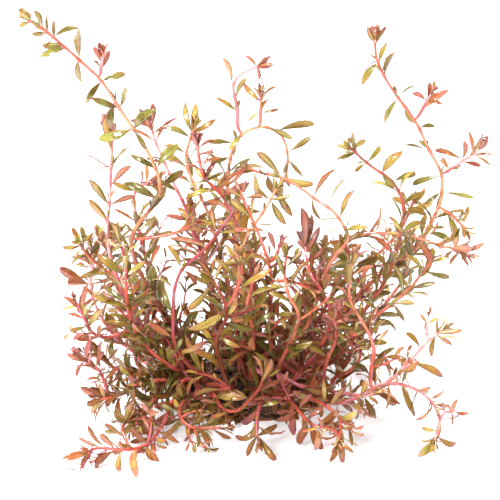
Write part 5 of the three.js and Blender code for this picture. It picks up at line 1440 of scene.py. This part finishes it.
class ClumpSettings(bpy.types.PropertyGroup):
    """All settings of the clump."""

    leaf: bpy.props.PointerProperty(type=LeafSettings)
    stem: bpy.props.PointerProperty(type=StemSettings)
    root: bpy.props.PointerProperty(type=RootSettings)
    stage: bpy.props.PointerProperty(type=StageSettings)


class ShootOperator:
    """What the operators that make shoots have in common."""

    bl_options = {"REGISTER", "UNDO"}
    group = ""

    def execute(self, context):
        """Makes the group's shoots."""
        settings = context.scene.stem_plant
        materials = [stem_surface(settings), leaf_surface(settings)]
        for name in SHOOT_GROUPS[self.group]:
            make_shoot(name, settings, materials)
        return {"FINISHED"}


class PLANT_OT_tall_shoots(ShootOperator, bpy.types.Operator):
    """Make the tall shoots that stand out of the clump, and their side shoots"""

    bl_idname = "plant.tall_shoots"
    bl_label = "Tall Shoots"
    group = "tall"


class PLANT_OT_left_shoots(ShootOperator, bpy.types.Operator):
    """Make the shoots on the left side"""

    bl_idname = "plant.left_shoots"
    bl_label = "Left Shoots"
    group = "left"


class PLANT_OT_centre_shoots(ShootOperator, bpy.types.Operator):
    """Make the shoots in the centre"""

    bl_idname = "plant.centre_shoots"
    bl_label = "Centre Shoots"
    group = "centre"


class PLANT_OT_right_shoots(ShootOperator, bpy.types.Operator):
    """Make the shoots on the right side"""

    bl_idname = "plant.right_shoots"
    bl_label = "Right Shoots"
    group = "right"


class PLANT_OT_front_shoots(ShootOperator, bpy.types.Operator):
    """Make the low shoots that trail over the ground in front"""

    bl_idname = "plant.front_shoots"
    bl_label = "Front Shoots"
    group = "front"


class PLANT_OT_middle_shoots(ShootOperator, bpy.types.Operator):
    """Make the shoots that fill the middle of the clump"""

    bl_idname = "plant.middle_shoots"
    bl_label = "Middle Shoots"
    group = "middle"


class PLANT_OT_back_shoots(ShootOperator, bpy.types.Operator):
    """Make the shoots at the back"""

    bl_idname = "plant.back_shoots"
    bl_label = "Back Shoots"
    group = "back"


class PLANT_OT_root_tangle(bpy.types.Operator):
    """Make the tangle of roots and old stems that the shoots rise from"""

    bl_idname = "plant.root_tangle"
    bl_label = "Root Tangle"
    bl_options = {"REGISTER", "UNDO"}

    def execute(self, context):
        """Makes the tangle."""
        settings = context.scene.stem_plant
        materials = [root_surface(settings, False), root_surface(settings, True), leaf_surface(settings)]
        make_root_tangle(settings, materials)
        return {"FINISHED"}


class PLANT_OT_stage(bpy.types.Operator):
    """Make the floor, the lights and the camera"""

    bl_idname = "plant.stage"
    bl_label = "Stage"
    bl_options = {"REGISTER", "UNDO"}

    def execute(self, context):
        """Makes the stage."""
        make_stage(context.scene.stem_plant)
        return {"FINISHED"}


OPERATORS = (
    PLANT_OT_stage,
    PLANT_OT_root_tangle,
    PLANT_OT_tall_shoots,
    PLANT_OT_left_shoots,
    PLANT_OT_centre_shoots,
    PLANT_OT_right_shoots,
    PLANT_OT_front_shoots,
    PLANT_OT_middle_shoots,
    PLANT_OT_back_shoots,
)


class PLANT_PT_clump(bpy.types.Panel):
    """Lists the clump's operators and settings"""

    bl_label = "Stem Plant"
    bl_idname = "PLANT_PT_clump"
    bl_space_type = "VIEW_3D"
    bl_region_type = "UI"
    bl_category = "Stem Plant"

    def draw(self, context):
        """A button for each operator, and a box for each group of settings."""
        for operator in OPERATORS:
            self.layout.operator(operator.bl_idname)
        settings = context.scene.stem_plant
        for part in (settings.leaf, settings.stem, settings.root, settings.stage):
            box = self.layout.box()
            for name in part.__annotations__:
                box.prop(part, name)


CLASSES = (LeafSettings, StemSettings, RootSettings, StageSettings, ClumpSettings, *OPERATORS, PLANT_PT_clump)


def register():
    """Registers the classes and adds the settings to the scene."""
    for kind in CLASSES:
        bpy.utils.register_class(kind)
    bpy.types.Scene.stem_plant = bpy.props.PointerProperty(type=ClumpSettings)


def unregister():
    """Takes the settings and the classes away again."""
    del bpy.types.Scene.stem_plant
    for kind in reversed(CLASSES):
        bpy.utils.unregister_class(kind)


def main():
    """Makes every piece and the stage."""
    register()
    bpy.ops.plant.stage()
    bpy.ops.plant.root_tangle()
    bpy.ops.plant.tall_shoots()
    bpy.ops.plant.left_shoots()
    bpy.ops.plant.centre_shoots()
    bpy.ops.plant.right_shoots()
    bpy.ops.plant.front_shoots()
    bpy.ops.plant.middle_shoots()
    bpy.ops.plant.back_shoots()


if __name__ == "__main__":
    main()
